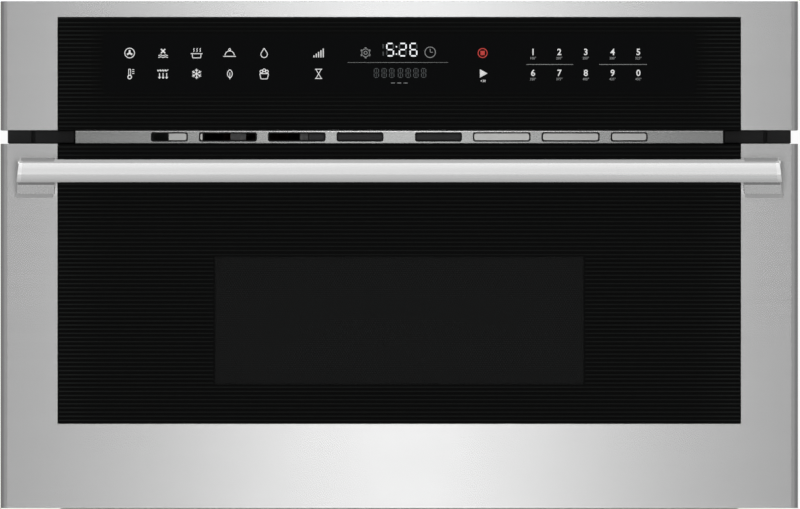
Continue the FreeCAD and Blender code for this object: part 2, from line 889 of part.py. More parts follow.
def build_hot_air():
    grille = body("convection_grille")
    front = "cavity_depth - sheet"
    pad(grille, "XZ", front, "cavity_depth", lambda s: circle(s, "0", "0", "hot_port_radius + 14"))
    hole_radius = "hot_port_radius * 0.044"
    for share, count in ((0.22, 8), (0.42, 16), (0.62, 24), (0.82, 30)):
        ring = f"hot_port_radius * {share}"
        hole = pocket(grille, "XZ", front, "cavity_depth", lambda s: circle(s, ring, "0", hole_radius))
        ring_pattern(grille, hole, "N_Axis", count)
    pocket(grille, "XZ", front, "cavity_depth", lambda s: circle(s, "0", "0", hole_radius))
    keep("convection_grille", put(grille, z="hot_z"))

    housing = body("convection_housing")
    wall = "cavity_sheet"

    def cup(s):
        radius, depth = "hot_housing_radius", "hot_housing_depth"
        polygon(
            s,
            [
                (f"{radius} - {wall}", "0"),
                (f"{radius} + 8", "0"),
                (f"{radius} + 8", wall),
                (radius, wall),
                (f"{radius} - 10", depth),
                ("fan_shaft_radius + 3", depth),
                ("fan_shaft_radius + 3", f"{depth} - {wall}"),
                (f"{radius} - 10 - {wall}", f"{depth} - {wall}"),
            ],
        )

    revolve(housing, "XY", cup)

    def heater_holes(s):
        for side in SIDES:
            circle(s, f"{side} * 12", "heater_ring_radius", "heater_tube_radius + seat_gap")

    pocket(housing, "XZ", "hot_housing_depth - 2 * cavity_sheet", "hot_housing_depth", heater_holes)
    keep("convection_housing", put(housing, y="hot_y", z="hot_z"))

    element = doc.addObject("Part::Torus", "heater_loop")
    bind(element, "Radius1", "heater_ring_radius")
    bind(element, "Radius2", "heater_tube_radius")
    element.Angle3 = HEATER_SWEEP
    facing = FreeCAD.Rotation(FreeCAD.Vector(1, 0, 0), -90)
    gap_up = FreeCAD.Rotation(FreeCAD.Vector(0, 1, 0), -90 - (360 - HEATER_SWEEP) / 2)
    element.Placement = FreeCAD.Placement(FreeCAD.Vector(), gap_up.multiply(facing))
    put(element, y="hot_y + 30", z="hot_z")
    legs = [
        rod(
            "heater_leg",
            "y",
            "heater_tube_radius",
            "hot_y + 30",
            "hot_housing_depth - 30 + 16",
            (f"{side} * 12", "hot_z + heater_ring_radius"),
        )
        for side in SIDES
    ]
    keep("convection_heater", fuse("heater", [element, *legs]))

    fan = body("convection_fan")
    disc, top = "10", "10 + fin_sheet"
    pad(fan, "XZ", disc, top, lambda s: circle(s, "0", "0", "hot_fan_radius"))
    blade = pad(
        fan,
        "XZ",
        top,
        f"{disc} + hot_fan_height",
        lambda s: polygon(
            s,
            [
                ("hot_fan_radius * 0.38", "-2"),
                ("hot_fan_radius - 1", "6"),
                ("hot_fan_radius - 1", "6 + fin_sheet"),
                ("hot_fan_radius * 0.38", "-2 + fin_sheet"),
            ],
        ),
    )
    ring_pattern(fan, blade, "N_Axis", 10)
    shaft_end = "hot_housing_depth + hot_motor_length - 6"
    pad(fan, "XZ", disc, shaft_end, lambda s: circle(s, "0", "0", "fan_shaft_radius"))
    keep("convection_fan", put(fan, y="hot_y", z="hot_z"))

    motor = body("convection_motor")

    def can(s):
        bore, radius, length = "fan_shaft_radius + running_gap", "hot_motor_radius", "hot_motor_length"
        polygon(
            s,
            [
                (bore, "0"),
                (f"{radius} * 0.4", "0"),
                (f"{radius} * 0.4", "8"),
                (f"{radius} - 3", "8"),
                (radius, "11"),
                (radius, f"{length} - 9"),
                (f"{radius} - 3", f"{length} - 6"),
                (f"{radius} * 0.4", f"{length} - 6"),
                (f"{radius} * 0.4", length),
                (bore, length),
            ],
        )

    revolve(motor, "XY", can)
    keep("convection_motor", put(motor, y="hot_back", z="hot_z"))


# Microwave source and power parts above the cavity


def build_power():
    guide = body("waveguide")
    half, wall = "guide_width / 2", "guide_sheet"
    outline = ("guide_start", "guide_end"), (f"-{half}", half)
    pad(guide, "XY", "deck_z", "guide_top", lambda s: rectangle(s, *outline))

    def bore(s):
        x = (f"guide_start + {wall}", f"guide_end - {wall}")
        rectangle(s, x, (f"-{half} + {wall}", f"{half} - {wall}"))

    pocket(guide, "XY", "deck_z", f"guide_top - {wall}", bore)
    antenna_hole = "antenna_radius + 4"
    pocket(
        guide, "XY", f"guide_top - {wall}", "guide_top", lambda s: circle(s, "magnetron_x", "0", antenna_hole)
    )
    keep("waveguide", put(guide, y="magnetron_y"))

    cover_x = ("guide_start + 4", "guide_start + 70")
    cover_y = ("magnetron_y - guide_width / 2 - 2", "magnetron_y + guide_width / 2 - 8")
    mica = body("waveguide_cover")
    pad(
        mica,
        "XY",
        "cavity_ceiling_z - cavity_sheet",
        "cavity_ceiling_z",
        lambda s: rounded(s, cover_x, cover_y, "4"),
    )
    keep("waveguide_cover", mica)

    tube = body("magnetron")
    side = "magnetron_body / 2"
    plate = ("guide_top", "guide_top + 2 * guide_sheet")
    square = (f"-{side}", side), (f"-{side}", side)
    pad(tube, "XY", *plate, lambda s: rectangle(s, *square))
    yoke_x = [(f"-{side}", f"-{side} + 2"), (f"{side} - 2", side)]
    for wall_x in yoke_x:
        pad(tube, "XY", plate[1], "yoke_top", lambda s: rectangle(s, wall_x, square[1]))
    pad(tube, "XY", plate[1], "yoke_top", lambda s: circle(s, "0", "0", "magnetron_body * 0.22"))
    antenna = ("guide_top - antenna_length", "guide_top")
    pad(tube, "XY", *antenna, lambda s: circle(s, "0", "0", "antenna_radius"))
    fin = pad(
        tube,
        "XY",
        f"{plate[1]} + fin_pitch",
        f"{plate[1]} + fin_pitch + fin_sheet",
        lambda s: rectangle(s, (f"-{side} + 2", f"{side} - 2"), (f"-{side} + 4", f"{side} - 4")),
    )
    line_pattern(tube, fin, "N_Axis", "fin_pitch", 7)
    lid = (f"-{side}", side), (f"-{side} * 0.7", f"{side} * 0.7")
    pad(tube, "XY", "yoke_top", "yoke_top + filter_box_height", lambda s: rectangle(s, *lid))
    keep("magnetron", put(tube, "magnetron_x", "magnetron_y"))

    core = body("transformer_core")
    width, height, limb = "core_width / 2", "core_height", "core_limb"
    back = "core_depth / 2"
    pad(core, "XZ", f"-{back}", back, lambda s: rectangle(s, (f"-{width}", width), ("0", height)))
    for low, high in ((f"-{width} + {limb}", f"-{limb}"), (limb, f"{width} - {limb}")):
        pocket(
            core, "XZ", f"-{back}", back, lambda s: rectangle(s, (low, high), (limb, f"{height} - {limb}"))
        )
    pad(
        core,
        "XY",
        "0",
        "2",
        lambda s: rectangle(s, (f"-{width} - 10", f"{width} + 10"), (f"-{back} + 6", f"{back} - 6")),
    )
    keep("transformer_core", put(core, "transformer_x", "transformer_y", "deck_z"))

    coil = body("transformer_windings")
    reach_x, reach_y = f"({width} - {limb} - seat_gap)", f"({back} + winding_bulge)"

    def turns(s):
        rounded(s, (f"-{reach_x}", reach_x), (f"-{reach_y}", reach_y), "9")
        limb_x = (f"-{limb} - seat_gap", f"{limb} + seat_gap")
        rectangle(s, limb_x, (f"-{back} - seat_gap", f"{back} + seat_gap"))

    pad(coil, "XY", f"{limb} + seat_gap", f"{height} - {limb} - seat_gap", turns)
    keep("transformer_windings", put(coil, "transformer_x", "transformer_y", "deck_z"))

    can = body("capacitor")
    across, deep = "capacitor_width / 2", "capacitor_depth / 2"
    shape = (f"-{across}", across), (f"-{deep}", deep), f"{deep} - 0.5"
    pad(can, "XY", "0", "capacitor_height", lambda s: rounded(s, *shape))

    def terminals(s):
        for side in SIDES:
            ends = sorted((8, 14))
            x = sorted((side * ends[0], side * ends[1]))
            rectangle(s, [str(v) for v in x], ("-0.5", "0.5"))

    pad(can, "XY", "capacitor_height", "capacitor_height + 9", terminals)
    keep("capacitor", put(can, "capacitor_x", "capacitor_y", "deck_z"))


def build_cooling_fan():
    shroud = body("cooling_shroud")
    half, wall, front = "cool_duct / 2", "2", "rear_face - cool_duct_depth"
    square = (f"-{half}", half), (f"-{half}", half)
    pad(shroud, "XZ", front, "rear_face", lambda s: rectangle(s, *square))
    pocket(shroud, "XZ", front, "rear_face", lambda s: circle(s, "0", "0", "cool_fan_radius + 3"))
    spokes = ("rear_face - cool_duct_depth", "rear_face - cool_duct_depth + 3")

    def cross(s):
        rectangle(s, ("-cool_fan_radius - 5", "cool_fan_radius + 5"), ("-4", "4"))

    pad(shroud, "XZ", *spokes, cross)
    boss = "cool_motor_radius - 4"
    pad(shroud, "XZ", *spokes, lambda s: circle(s, "0", "0", boss))
    pocket(shroud, "XZ", *spokes, lambda s: circle(s, "0", "0", "fan_shaft_radius + 1"))
    keep("cooling_shroud", put(shroud, "cool_fan_x", z="cool_fan_z"))

    motor = body("cooling_motor")
    back = "rear_face - cool_duct_depth"
    start = f"{back} - cool_motor_length"

    def laminations(s):
        half_core = "cool_motor_radius"
        rounded(s, (f"-{half_core}", half_core), (f"-{half_core} * 0.8", f"{half_core} * 1.2"), "3")

    pad(motor, "XZ", start, f"{start} + 16", laminations)
    pad(motor, "XZ", f"{start} + 16", back, lambda s: circle(s, "0", "0", "cool_motor_radius * 0.7"))
    pocket(
        motor, "XZ", start, back, lambda s: circle(s, "0", "0", "fan_shaft_radius + running_gap")
    )
    keep("cooling_motor", put(motor, "cool_fan_x", z="cool_fan_z"))

    fan = body("cooling_fan")
    middle = "rear_face - cool_duct_depth / 2 + 3"
    hub = (f"{middle} - 9", f"{middle} + 9")
    pad(fan, "XZ", *hub, lambda s: circle(s, "0", "0", "cool_hub_radius"))
    ring_pattern(fan, twisted_blade(fan, middle), "Y", 7)
    shaft_start = f"{back} - cool_motor_length + 4"
    pad(fan, "XZ", shaft_start, middle, lambda s: circle(s, "0", "0", "fan_shaft_radius"))
    keep("cooling_fan", put(fan, "cool_fan_x", z="cool_fan_z"))


def twisted_blade(fan, middle):
    """One twisted blade: a loft from a steep root at the hub to a flatter tip."""
    sections = []
    for radius, pitch in (("cool_hub_radius - 1.5", 50), ("cool_fan_radius", 28)):
        profile = sketch(fan, "YZ", radius)
        along, across = f"blade_chord / 2 * sin({pitch})", f"blade_chord / 2 * cos({pitch})"
        thick_y, thick_z = f"blade_sheet * cos({pitch})", f"blade_sheet * sin({pitch})"
        polygon(
            profile,
            [
                (f"{middle} - {along}", f"-{across}"),
                (f"{middle} + {along}", across),
                (f"{middle} + {along} - {thick_y}", f"{across} + {thick_z}"),
                (f"{middle} - {along} - {thick_y}", f"-{across} + {thick_z}"),
            ],
        )
        sections.append(profile)
    loft = fan.newObject("PartDesign::AdditiveLoft", "cooling_fan_blade")
    loft.Profile = sections[0]
    loft.Sections = [sections[1]]
    loft.Ruled = True
    return loft


def build_lamp():
    lamp = body("cavity_lamp")
    wall = "half_cavity + cavity_sheet"
    y, z = "cavity_depth / 3 + 22", "cavity_ceiling_z - 52"
    outline = (f"{y} - 32", f"{y} + 32"), (f"{z} - 26", f"{z} + 26")
    pad(lamp, "YZ", wall, f"{wall} + 30", lambda s: rectangle(s, *outline))

    def reflector(s):
        rectangle(s, (f"{y} - 30", f"{y} + 30"), (f"{z} - 24", f"{z} + 24"))

    pocket(lamp, "YZ", wall, f"{wall} + 28", reflector)
    pad(lamp, "YZ", f"{wall} + 8", f"{wall} + 29", lambda s: circle(s, y, z, "9"))
    keep("cavity_lamp", lamp)


# Vent strip and control panel


# Middle and length of each slot of one half, as shares of half the strip
VENT_SLOTS = ((0.1213, 0.1453), (0.3166, 0.1784), (0.5294, 0.1797), (0.7103, 0.1142))
# Where sheet metal shows behind the slots, in the same shares
BAFFLES = ((0.224, 0.769), (-0.712, -0.608))
DEEP_BAFFLE = (-0.522, -0.474)


def build_vent():
    trim = body("vent_trim")
    top, low = "vent_high", "vent_low"
    outline = ("-half_vent", "half_vent"), (low, top)
    pad(trim, "XZ", "vent_front", "frame_front", lambda s: rectangle(s, *outline))

    def duct(s):
        x = ("-half_vent + vent_sheet", "half_vent - vent_sheet")
        rectangle(s, x, (f"{low} + vent_sheet", f"{top} - vent_sheet"))

    pocket(trim, "XZ", "vent_back", "frame_front", duct)
    tall = ("vent_middle - vent_slot_height / 2", "vent_middle + vent_slot_height / 2")

    def slots(s):
        for side in SIDES:
            for middle, length in VENT_SLOTS:
                x = [f"half_vent * ({side * middle} + {k * length / 2})" for k in SIDES]
                rounded(s, x, tall, "vent_slot_radius")

    pocket(trim, "XZ", "vent_front", "vent_back", slots)
    keep("vent_trim", trim)

    end = body("vent_end")
    inner, outer = "half_vent + seat_gap", "flange_half"
    pad(end, "XZ", "vent_front", "frame_front", lambda s: rectangle(s, (inner, outer), (low, top)))
    groove = ("half_chassis - 9.5", "half_chassis - 9.5 + vent_end_groove")
    pocket(end, "XZ", "vent_front", "vent_front + 2", lambda s: rectangle(s, groove, (low, top)))
    pair("vent_ends", end)

    inside = ("vent_low + vent_sheet", "vent_high - vent_sheet")
    shallow, deep = "vent_back", "vent_back + 10"
    plates = []
    for start, shares in [(shallow, pair_of_shares) for pair_of_shares in BAFFLES] + [(deep, DEEP_BAFFLE)]:
        x = [f"half_vent * {share}" for share in shares]
        plates.append(box("vent_baffle", x, (start, f"{start} + sheet"), inside))
    keep("vent_baffles", group("baffle_plates", plates))


def formed_frame(owner, outline, depth_low, depth_high, rounded_edges):
    """A deep-drawn steel frame: a solid outline, bent edges, then shelled out from the back."""
    pad(owner, "XZ", depth_low, depth_high, lambda s: polygon(s, outline))
    soften(owner, "bend_radius", rounded_edges)
    doc.recompute()
    base = owner.Tip
    back = [
        f"Face{n}"
        for n, face in enumerate(base.Shape.Faces, start=1)
        if abs(face.CenterOfMass.y - val(depth_high)) < 1e-3 and abs(face.normalAt(0, 0).y) > 0.99
    ]
    shell = owner.newObject("PartDesign::Thickness", f"{owner.Name}_shell")
    shell.Base = (base, back)
    bind(shell, "Value", "skin")
    shell.Reversed = True
    shell.Join = 1
    return shell


def build_control_panel():
    trim = body("control_trim")
    outer, inner, low = "half_front", "opening_half", "control_bottom"
    lintel = "front_top - top_band"
    outline = [
        (f"-{outer}", low),
        (f"-{inner}", low),
        (f"-{inner}", lintel),
        (inner, lintel),
        (inner, low),
        (outer, low),
        (outer, "front_top"),
        (f"-{outer}", "front_top"),
    ]

    def outer_bends(edge):
        front = lies_at(edge, "y", "front_face")
        side = lies_at(edge, "x", "half_front") or lies_at(edge, "x", "-half_front")
        return front and side and runs_along(edge, "z")

    formed_frame(trim, outline, "front_face", "frame_front", outer_bends)
    keep("control_trim", trim)

    glass = body("control_glass")
    z = ("control_bottom", f"{lintel} - reveal")
    pad(glass, "XZ", "front_face", "glass_back", lambda s: rectangle(s, ("-glass_half", "glass_half"), z))
    soften(glass, "glass_bevel", lambda e: lies_at(e, "y", "front_face"), "Chamfer")
    keep("control_glass", glass)

    housing = body("control_housing")
    wall = "housing_wall"
    outside = ("-glass_half", "glass_half"), z
    pad(housing, "XZ", "housing_front", "frame_front", lambda s: rectangle(s, *outside))

    def cavity(s):
        x = (f"-glass_half + {wall}", f"glass_half - {wall}")
        rectangle(s, x, (f"{z[0]} + {wall}", f"{z[1]} - {wall}"))

    pocket(housing, "XZ", "housing_inside", "frame_front", cavity)
    half_w, half_h = "display_width / 2", "display_height / 2"
    display_x = (f"-{half_w} - reveal", f"{half_w} + reveal")
    display_y = (f"display_z - {half_h} - reveal", f"display_z + {half_h} + reveal")
    pocket(housing, "XZ", "housing_front", "housing_inside", lambda s: rectangle(s, display_x, display_y))
    for side in SIDES:
        ends = sorted((0, 1), key=lambda k: k * side)
        x = [f"{side} * (board_width / 2 + 20 + {k} * {wall})" for k in ends]
        pad(housing, "XZ", "housing_inside", "frame_front - 12", lambda s: rectangle(s, x, z))
    keep("control_housing", housing)

    board = body("control_board")
    board_front, board_back = "housing_inside", "housing_inside + board_sheet"
    x = ("-board_width / 2", "board_width / 2")
    level = ("display_z - board_height / 2", "display_z + board_height / 2")
    pad(board, "XZ", board_front, board_back, lambda s: rectangle(s, x, level))

    def components(s):
        rectangle(s, ("-150", "-110"), ("display_z - 16", "display_z + 16"))
        rectangle(s, ("-60", "-20"), ("display_z - 20", "display_z - 4"))
        rectangle(s, ("90", "130"), ("display_z - 12", "display_z + 18"))

    pad(board, "XZ", board_back, f"{board_back} + 9", components)
    lit_x, lit_z = (f"-{half_w}", half_w), (f"display_z - {half_h}", f"display_z + {half_h}")
    pad(board, "XZ", "housing_front", board_front, lambda s: rectangle(s, lit_x, lit_z))
    keep("control_board", board)


# Door


def build_door():
    skin = body("door_skin")
    outer, inner, low, top = "half_front", "opening_half", "front_bottom", "door_top"
    sill = "front_bottom + bottom_band"
    outline = [
        (f"-{outer}", low),
        (outer, low),
        (outer, top),
        (inner, top),
        (inner, sill),
        (f"-{inner}", sill),
        (f"-{inner}", top),
        (f"-{outer}", top),
    ]

    def outer_bends(edge):
        front = lies_at(edge, "y", "front_face")
        side = lies_at(edge, "x", "half_front") or lies_at(edge, "x", "-half_front")
        return front and side and runs_along(edge, "z")

    formed_frame(skin, outline, "front_face", "skin_back", outer_bends)

    def hinge_notches(s):
        for side in SIDES:
            ends = sorted((-14, 14), key=lambda k: k * side)
            x = [f"{side} * (hinge_x + {k})" for k in ends]
            rectangle(s, x, ("hinge_y - 10", "skin_back"))

    pocket(skin, "XY", low, f"{low} + skin", hinge_notches)
    keep("door_skin", skin)

    glass = body("door_glass")
    pane = ("-glass_half", "glass_half"), (f"{sill} + reveal", "door_top")
    pad(glass, "XZ", "front_face", "glass_back", lambda s: rectangle(s, *pane))
    soften(glass, "glass_bevel", lambda e: lies_at(e, "y", "front_face"), "Chamfer")
    keep("door_glass", glass)

    carrier = body("glass_carrier")
    wall = "carrier_wall"
    window = ("-half_window", "half_window"), ("window_bottom", "window_top")
    pad(carrier, "XZ", "glass_back", "skin_back", lambda s: rectangle(s, *pane))

    def moulding(s):
        x = (f"-glass_half + {wall}", f"glass_half - {wall}")
        rectangle(s, x, (f"{pane[1][0]} + {wall}", f"{pane[1][1]} - {wall}"))
        x = (f"-half_window - {wall}", f"half_window + {wall}")
        rectangle(s, x, (f"window_bottom - {wall}", f"window_top + {wall}"))

    pocket(carrier, "XZ", f"glass_back + {wall}", "skin_back", moulding)
    pocket(carrier, "XZ", "glass_back", "skin_back", lambda s: rectangle(s, *window))
    for side in SIDES:
        ends = sorted((0, 1), key=lambda k: k * side)
        x = [f"{side} * ((half_window + glass_half) / 2 + {k} * {wall})" for k in ends]
        pad(carrier, "XZ", "glass_back", "skin_back", lambda s: rectangle(s, x, pane[1]))
    keep("glass_carrier", carrier)

    choke = body("choke_frame")
    edge, sheet_gap = "half_front - seat_gap", "seat_gap"
    outline_z = (f"front_bottom + {sheet_gap}", f"door_top - {sheet_gap}")
    pad(choke, "XZ", "skin_back", "choke_back", lambda s: rectangle(s, (f"-({edge})", edge), outline_z))

    def pan(s):
        x = (f"-({edge}) + choke_sheet", f"{edge} - choke_sheet")
        rectangle(s, x, (f"{outline_z[0]} + choke_sheet", f"{outline_z[1]} - choke_sheet"))

    pocket(choke, "XZ", "skin_back", "choke_web", pan)
    pocket(choke, "XZ", "choke_web", "choke_back", lambda s: rectangle(s, *window))

    def notches(s):
        for side in SIDES:
            ends = sorted((-14, 14), key=lambda k: k * side)
            x = [f"{side} * (hinge_x + {k})" for k in ends]
            rectangle(s, x, ("front_bottom", "hinge_z + sector_radius + 10"))

    pocket(choke, "XZ", "skin_back", "choke_back", notches)
    keep("choke_frame", choke)

    cover = body("choke_cover")
    x = ("-half_cavity - choke_overlap", "half_cavity + choke_overlap")
    level = ("cavity_floor_z - choke_overlap", "cavity_ceiling_z + choke_overlap")
    pad(cover, "XZ", "choke_back", "cover_back", lambda s: rounded(s, x, level, "10"))
    lap = "window_lap + 10"
    view_x = (f"-half_window - ({lap})", f"half_window + {lap}")
    view_z = (f"window_bottom - ({lap})", f"window_top + {lap}")
    pocket(cover, "XZ", "choke_back", "cover_back", lambda s: rounded(s, view_x, view_z, "8"))
    keep("choke_cover", cover)

    screen = body("window_screen")
    x = ("-half_window - window_lap", "half_window + window_lap")
    level = ("window_bottom - window_lap", "window_top + window_lap")
    pad(screen, "XZ", "choke_web - screen_sheet", "choke_web", lambda s: rectangle(s, x, level))
    keep("window_screen", screen)

    pane_in = body("inner_window")
    x = (f"-half_window - ({lap}) + seat_gap", f"half_window + {lap} - seat_gap")
    level = (f"window_bottom - ({lap}) + seat_gap", f"window_top + {lap} - seat_gap")
    pad(pane_in, "XZ", "choke_back", "choke_back + inner_window", lambda s: rounded(s, x, level, "8"))
    keep("inner_window", pane_in)

    tongue = body("latch_tongue")
    outline = [
        ("choke_back", "latch_z - 7"),
        ("tongue_tip - 9", "latch_z - 5.5"),
        ("tongue_tip - 9", "latch_z - 3"),
        ("tongue_tip - 5", "latch_z - 5"),
        ("tongue_tip", "latch_z - 3"),
        ("tongue_tip", "latch_z + 1"),
        ("tongue_tip - 12", "latch_z + 5"),
        ("choke_back", "latch_z + 7"),
    ]
    low, high = "latch_x - tongue_width / 2", "latch_x + tongue_width / 2"
    pad(tongue, "YZ", low, high, lambda s: polygon(s, outline))
    pair("latch_tongues", tongue)


def build_handle():
    bar = body("handle_bar")
    half = "bar_length / 2"
    crease = "bar_top - bar_chamfer"

    def section(s):
        corners = [
            ("bar_back", "bar_bottom + 2"),
            ("bar_back", "bar_top"),
            ("bar_back - 6", "bar_top"),
            ("bar_front + 3", crease),
            ("bar_front + 5", "bar_bottom"),
            ("bar_back - 2", "bar_bottom"),
        ]
        points = [FreeCAD.Vector(val(y), val(z), 0) for y, z in corners]
        nose = FreeCAD.Vector(val("bar_front"), (val(crease) + val("bar_bottom")) / 2, 0)
        count = len(points)
        for n in range(count):
            start, end = points[n], points[(n + 1) % count]
            curve = Part.Arc(start, nose, end) if n == 3 else Part.LineSegment(start, end)
            s.addGeometry(curve, False)
        for n in range(count):
            s.addConstraint(Sketcher.Constraint("Coincident", *joint(s, n, count)))
        for n, (y, z) in enumerate(corners):
            line = n - 1 if n == 3 else n
            fix_point(s, line, 2 if n == 3 else 1, y, z)
        radius = s.Geometry[3].Radius
        fix(s, "Radius", (3,), f"{radius / val('bar_height')} * bar_height")

    pad(bar, "YZ", f"-{half}", half, section)
    keep("handle_bar", bar)

    post = body("handle_post")
    outside, width = "handle_span / 2", "post_width"
    foot = "bar_top - foot_height"
    side = [
        ("front_face", foot),
        ("front_face", "bar_top - 1"),
        ("bar_back", "bar_top - 1"),
        ("bar_back", "bar_bottom + 2"),
        ("bar_back + 4", "bar_bottom - 1"),
        ("front_face - 6", f"{foot} + 3"),
        ("front_face - 1.5", foot),
    ]
    pad(post, "YZ", f"{outside} - {width}", outside, lambda s: polygon(s, side))
    pair("handle_posts", post)


def joint(s, n, count):
    """The ends of two neighbouring curves of an outline, whichever way an arc runs."""
    following = (n + 1) % count
    for a in (2, 1):
        for b in (1, 2):
            if s.getPoint(n, a).isEqual(s.getPoint(following, b), 1e-6):
                return n, a, following, b
    raise ValueError(f"curves {n} and {following} don't meet")


# Hinges, counterbalance and interlock


def build_hinges():
    arm = body("hinge_arm")
    half = "arm_sheet / 2"
    low, high = f"hinge_x - {half}", f"hinge_x + {half}"
    y, z = "hinge_y", "hinge_z"

    def lever(s):
        polygon(
            s,
            [
                (f"{y} - arm_width", z),
                (f"{y} - cable_radius - seat_gap", z),
                (f"{y} - cable_radius - seat_gap", f"{z} + arm_length * 0.45"),
                ("choke_web", f"{z} + arm_length * 0.55"),
                ("choke_web", f"{z} + arm_length"),
                (f"{y} - arm_width", f"{z} + arm_length"),
            ],
        )

    pad(arm, "YZ", low, high, lever)
    pad(arm, "YZ", low, high, lambda s: circle(s, y, z, "eye_radius"))
    disc = "sector_radius - cable_radius - seat_gap"
    pad(arm, "YZ", low, high, lambda s: quarter(s, y, z, disc))
    foot_x = ("hinge_x - 7", "hinge_x + 7")
    foot_z = (f"{z} + arm_length * 0.55", f"{z} + arm_length")
    pad(arm, "XZ", "choke_web - 2", "choke_web", lambda s: rectangle(s, foot_x, foot_z))
    pocket(arm, "YZ", low, high, lambda s: circle(s, y, z, "pin_radius + running_gap"))
    pair("hinge_arms", arm)

    bracket = body("hinge_bracket")
    base_x = ("hinge_x - 12", "hinge_x + 12")
    base_z = (f"{z} - ear_radius", "base_z")
    pad(bracket, "XZ", "frame_front - 2", "frame_front", lambda s: rectangle(s, base_x, base_z))
    for side in SIDES:
        ends = sorted((0, 1), key=lambda k: k * side)
        gap = "arm_sheet / 2 + side_gap"
        x = [f"hinge_x + {side} * ({gap} + {k} * ear_sheet)" for k in ends]
        flat = (y, "frame_front - 2"), (f"{z} - ear_radius", f"{z} + ear_radius")
        pad(bracket, "YZ", *x, lambda s: rectangle(s, *flat))
        pad(bracket, "YZ", *x, lambda s: circle(s, y, z, "ear_radius"))
    length = "arm_sheet / 2 + side_gap + ear_sheet"
    pin_ends = (f"hinge_x - ({length}) - 1", f"hinge_x + {length} + 1")
    pad(bracket, "YZ", *pin_ends, lambda s: circle(s, y, z, "pin_radius"))
    pair("hinge_brackets", bracket)

    cable = rod("cable", "y", "cable_radius", "hinge_y", "carriage_start - hinge_y", ("hinge_x", "cable_z"))
    pair("door_cables", cable)

    carriage = body("carriage")
    side_x = ("hinge_x - carriage_half_width", "hinge_x + carriage_half_width")
    level = ("pan_floor + seat_gap", "pan_floor + rail_height - 1")
    span = ("carriage_start", "carriage_end")
    pad(carriage, "YZ", *side_x, lambda s: rectangle(s, span, level))
    pocket(
        carriage,
        "XY",
        f"{level[1]} - 3",
        level[1],
        lambda s: rectangle(s, ("hinge_x - 3", "hinge_x + 3"), ("carriage_start + 6", "carriage_end - 6")),
    )
    pair("spring_carriages", carriage)


def quarter(s, y, z, radius):
    """A quarter disc behind and above a centre, for the cable to wrap."""
    centre = FreeCAD.Vector(val(y), val(z), 0)
    r = val(radius)
    back, top = centre + FreeCAD.Vector(r, 0, 0), centre + FreeCAD.Vector(0, r, 0)
    whole = Part.Circle(centre, FreeCAD.Vector(0, 0, 1), r)
    first = s.addGeometry(Part.LineSegment(centre, back), False)
    s.addGeometry(Part.ArcOfCircle(whole, 0, math.pi / 2), False)
    s.addGeometry(Part.LineSegment(top, centre), False)
    s.addConstraint(Sketcher.Constraint("Coincident", first, 2, first + 1, 1))
    s.addConstraint(Sketcher.Constraint("Coincident", first + 1, 2, first + 2, 1))
    s.addConstraint(Sketcher.Constraint("Coincident", first + 2, 2, first, 1))
    s.addConstraint(Sketcher.Constraint("Coincident", first + 1, 3, first, 1))
    s.addConstraint(Sketcher.Constraint("Horizontal", first))
    s.addConstraint(Sketcher.Constraint("Vertical", first + 2))
    fix_point(s, first, 1, y, z)
    fix(s, "Radius", (first + 1,), radius)


def biarc(start, along_start, end, along_end):
    """Two arcs that leave start and reach end along the given directions, smooth where they meet."""
    gap = end - start
    both = along_start + along_end
    swing = 2 * (1 - along_start.dot(along_end))
    lean = gap.dot(both)
    reach = (-lean + math.sqrt(lean * lean + swing * gap.dot(gap))) / swing
    first, last = start + along_start * reach, end - along_end * reach
    middle = (first + last) * 0.5
    arcs = []
    for a, corner, b in ((start, first, middle), (middle, last, end)):
        toward = (a + b) * 0.5 - corner
        half_chord = (b - a).Length / 2
        leg = (a - corner).Length
        half_angle = math.acos(min(1.0, half_chord / leg))
        radius = half_chord / math.sin(half_angle)
        sag = radius * (1 - math.cos(half_angle))
        crown = (a + b) * 0.5 - toward.normalize() * sag
        arcs.append(Part.Arc(a, crown, b).toShape())
    return arcs


def spring_line(turns, radius, length):
    """Edges of a coil about +Y, starting beside the origin."""
    steps = int(turns) * 4
    rise = length / steps

    def point(n):
        angle = math.pi / 2 * n
        return FreeCAD.Vector(radius * math.cos(angle), rise * n, radius * math.sin(angle))

    def heading(n):
        angle = math.pi / 2 * n
        tangent = FreeCAD.Vector(-radius * math.sin(angle), rise / (math.pi / 2), radius * math.cos(angle))
        return tangent.normalize()

    edges = []
    for n in range(steps):
        edges += biarc(point(n), heading(n), point(n + 1), heading(n + 1))
    return edges


def build_springs():
    """Extension springs between the carriages and the anchors at the ends of their rails."""
    start = val("carriage_end + seat_gap + spring_wire_radius")
    end = val("rail_end - 2 * rail_sheet - seat_gap - spring_wire_radius")
    wire, radius = val("spring_wire_radius"), val("spring_coil_radius")
    edges = spring_line(val("spring_turns"), radius, end - start)
    path = Part.Wire(edges)
    first = edges[0]
    tangent = first.tangentAt(first.FirstParameter)
    ring = Part.Wire(Part.makeCircle(wire, first.Vertexes[0].Point, tangent))
    solid = path.makePipeShell([ring], True, False)
    pitch = (end - start) / val("spring_turns")
    print(f"spring: {val('spring_turns'):.0f} turns, gap between turns {pitch - 2 * wire:.2f} mm")
    springs = []
    for side in SIDES:
        item = doc.addObject("Part::Feature", "spring")
        item.Shape = solid
        item.Placement = FreeCAD.Placement(
            FreeCAD.Vector(side * val("hinge_x"), start, val("cable_z")), FreeCAD.Rotation()
        )
        springs.append(item)
    keep("door_springs", group("spring_group", springs))


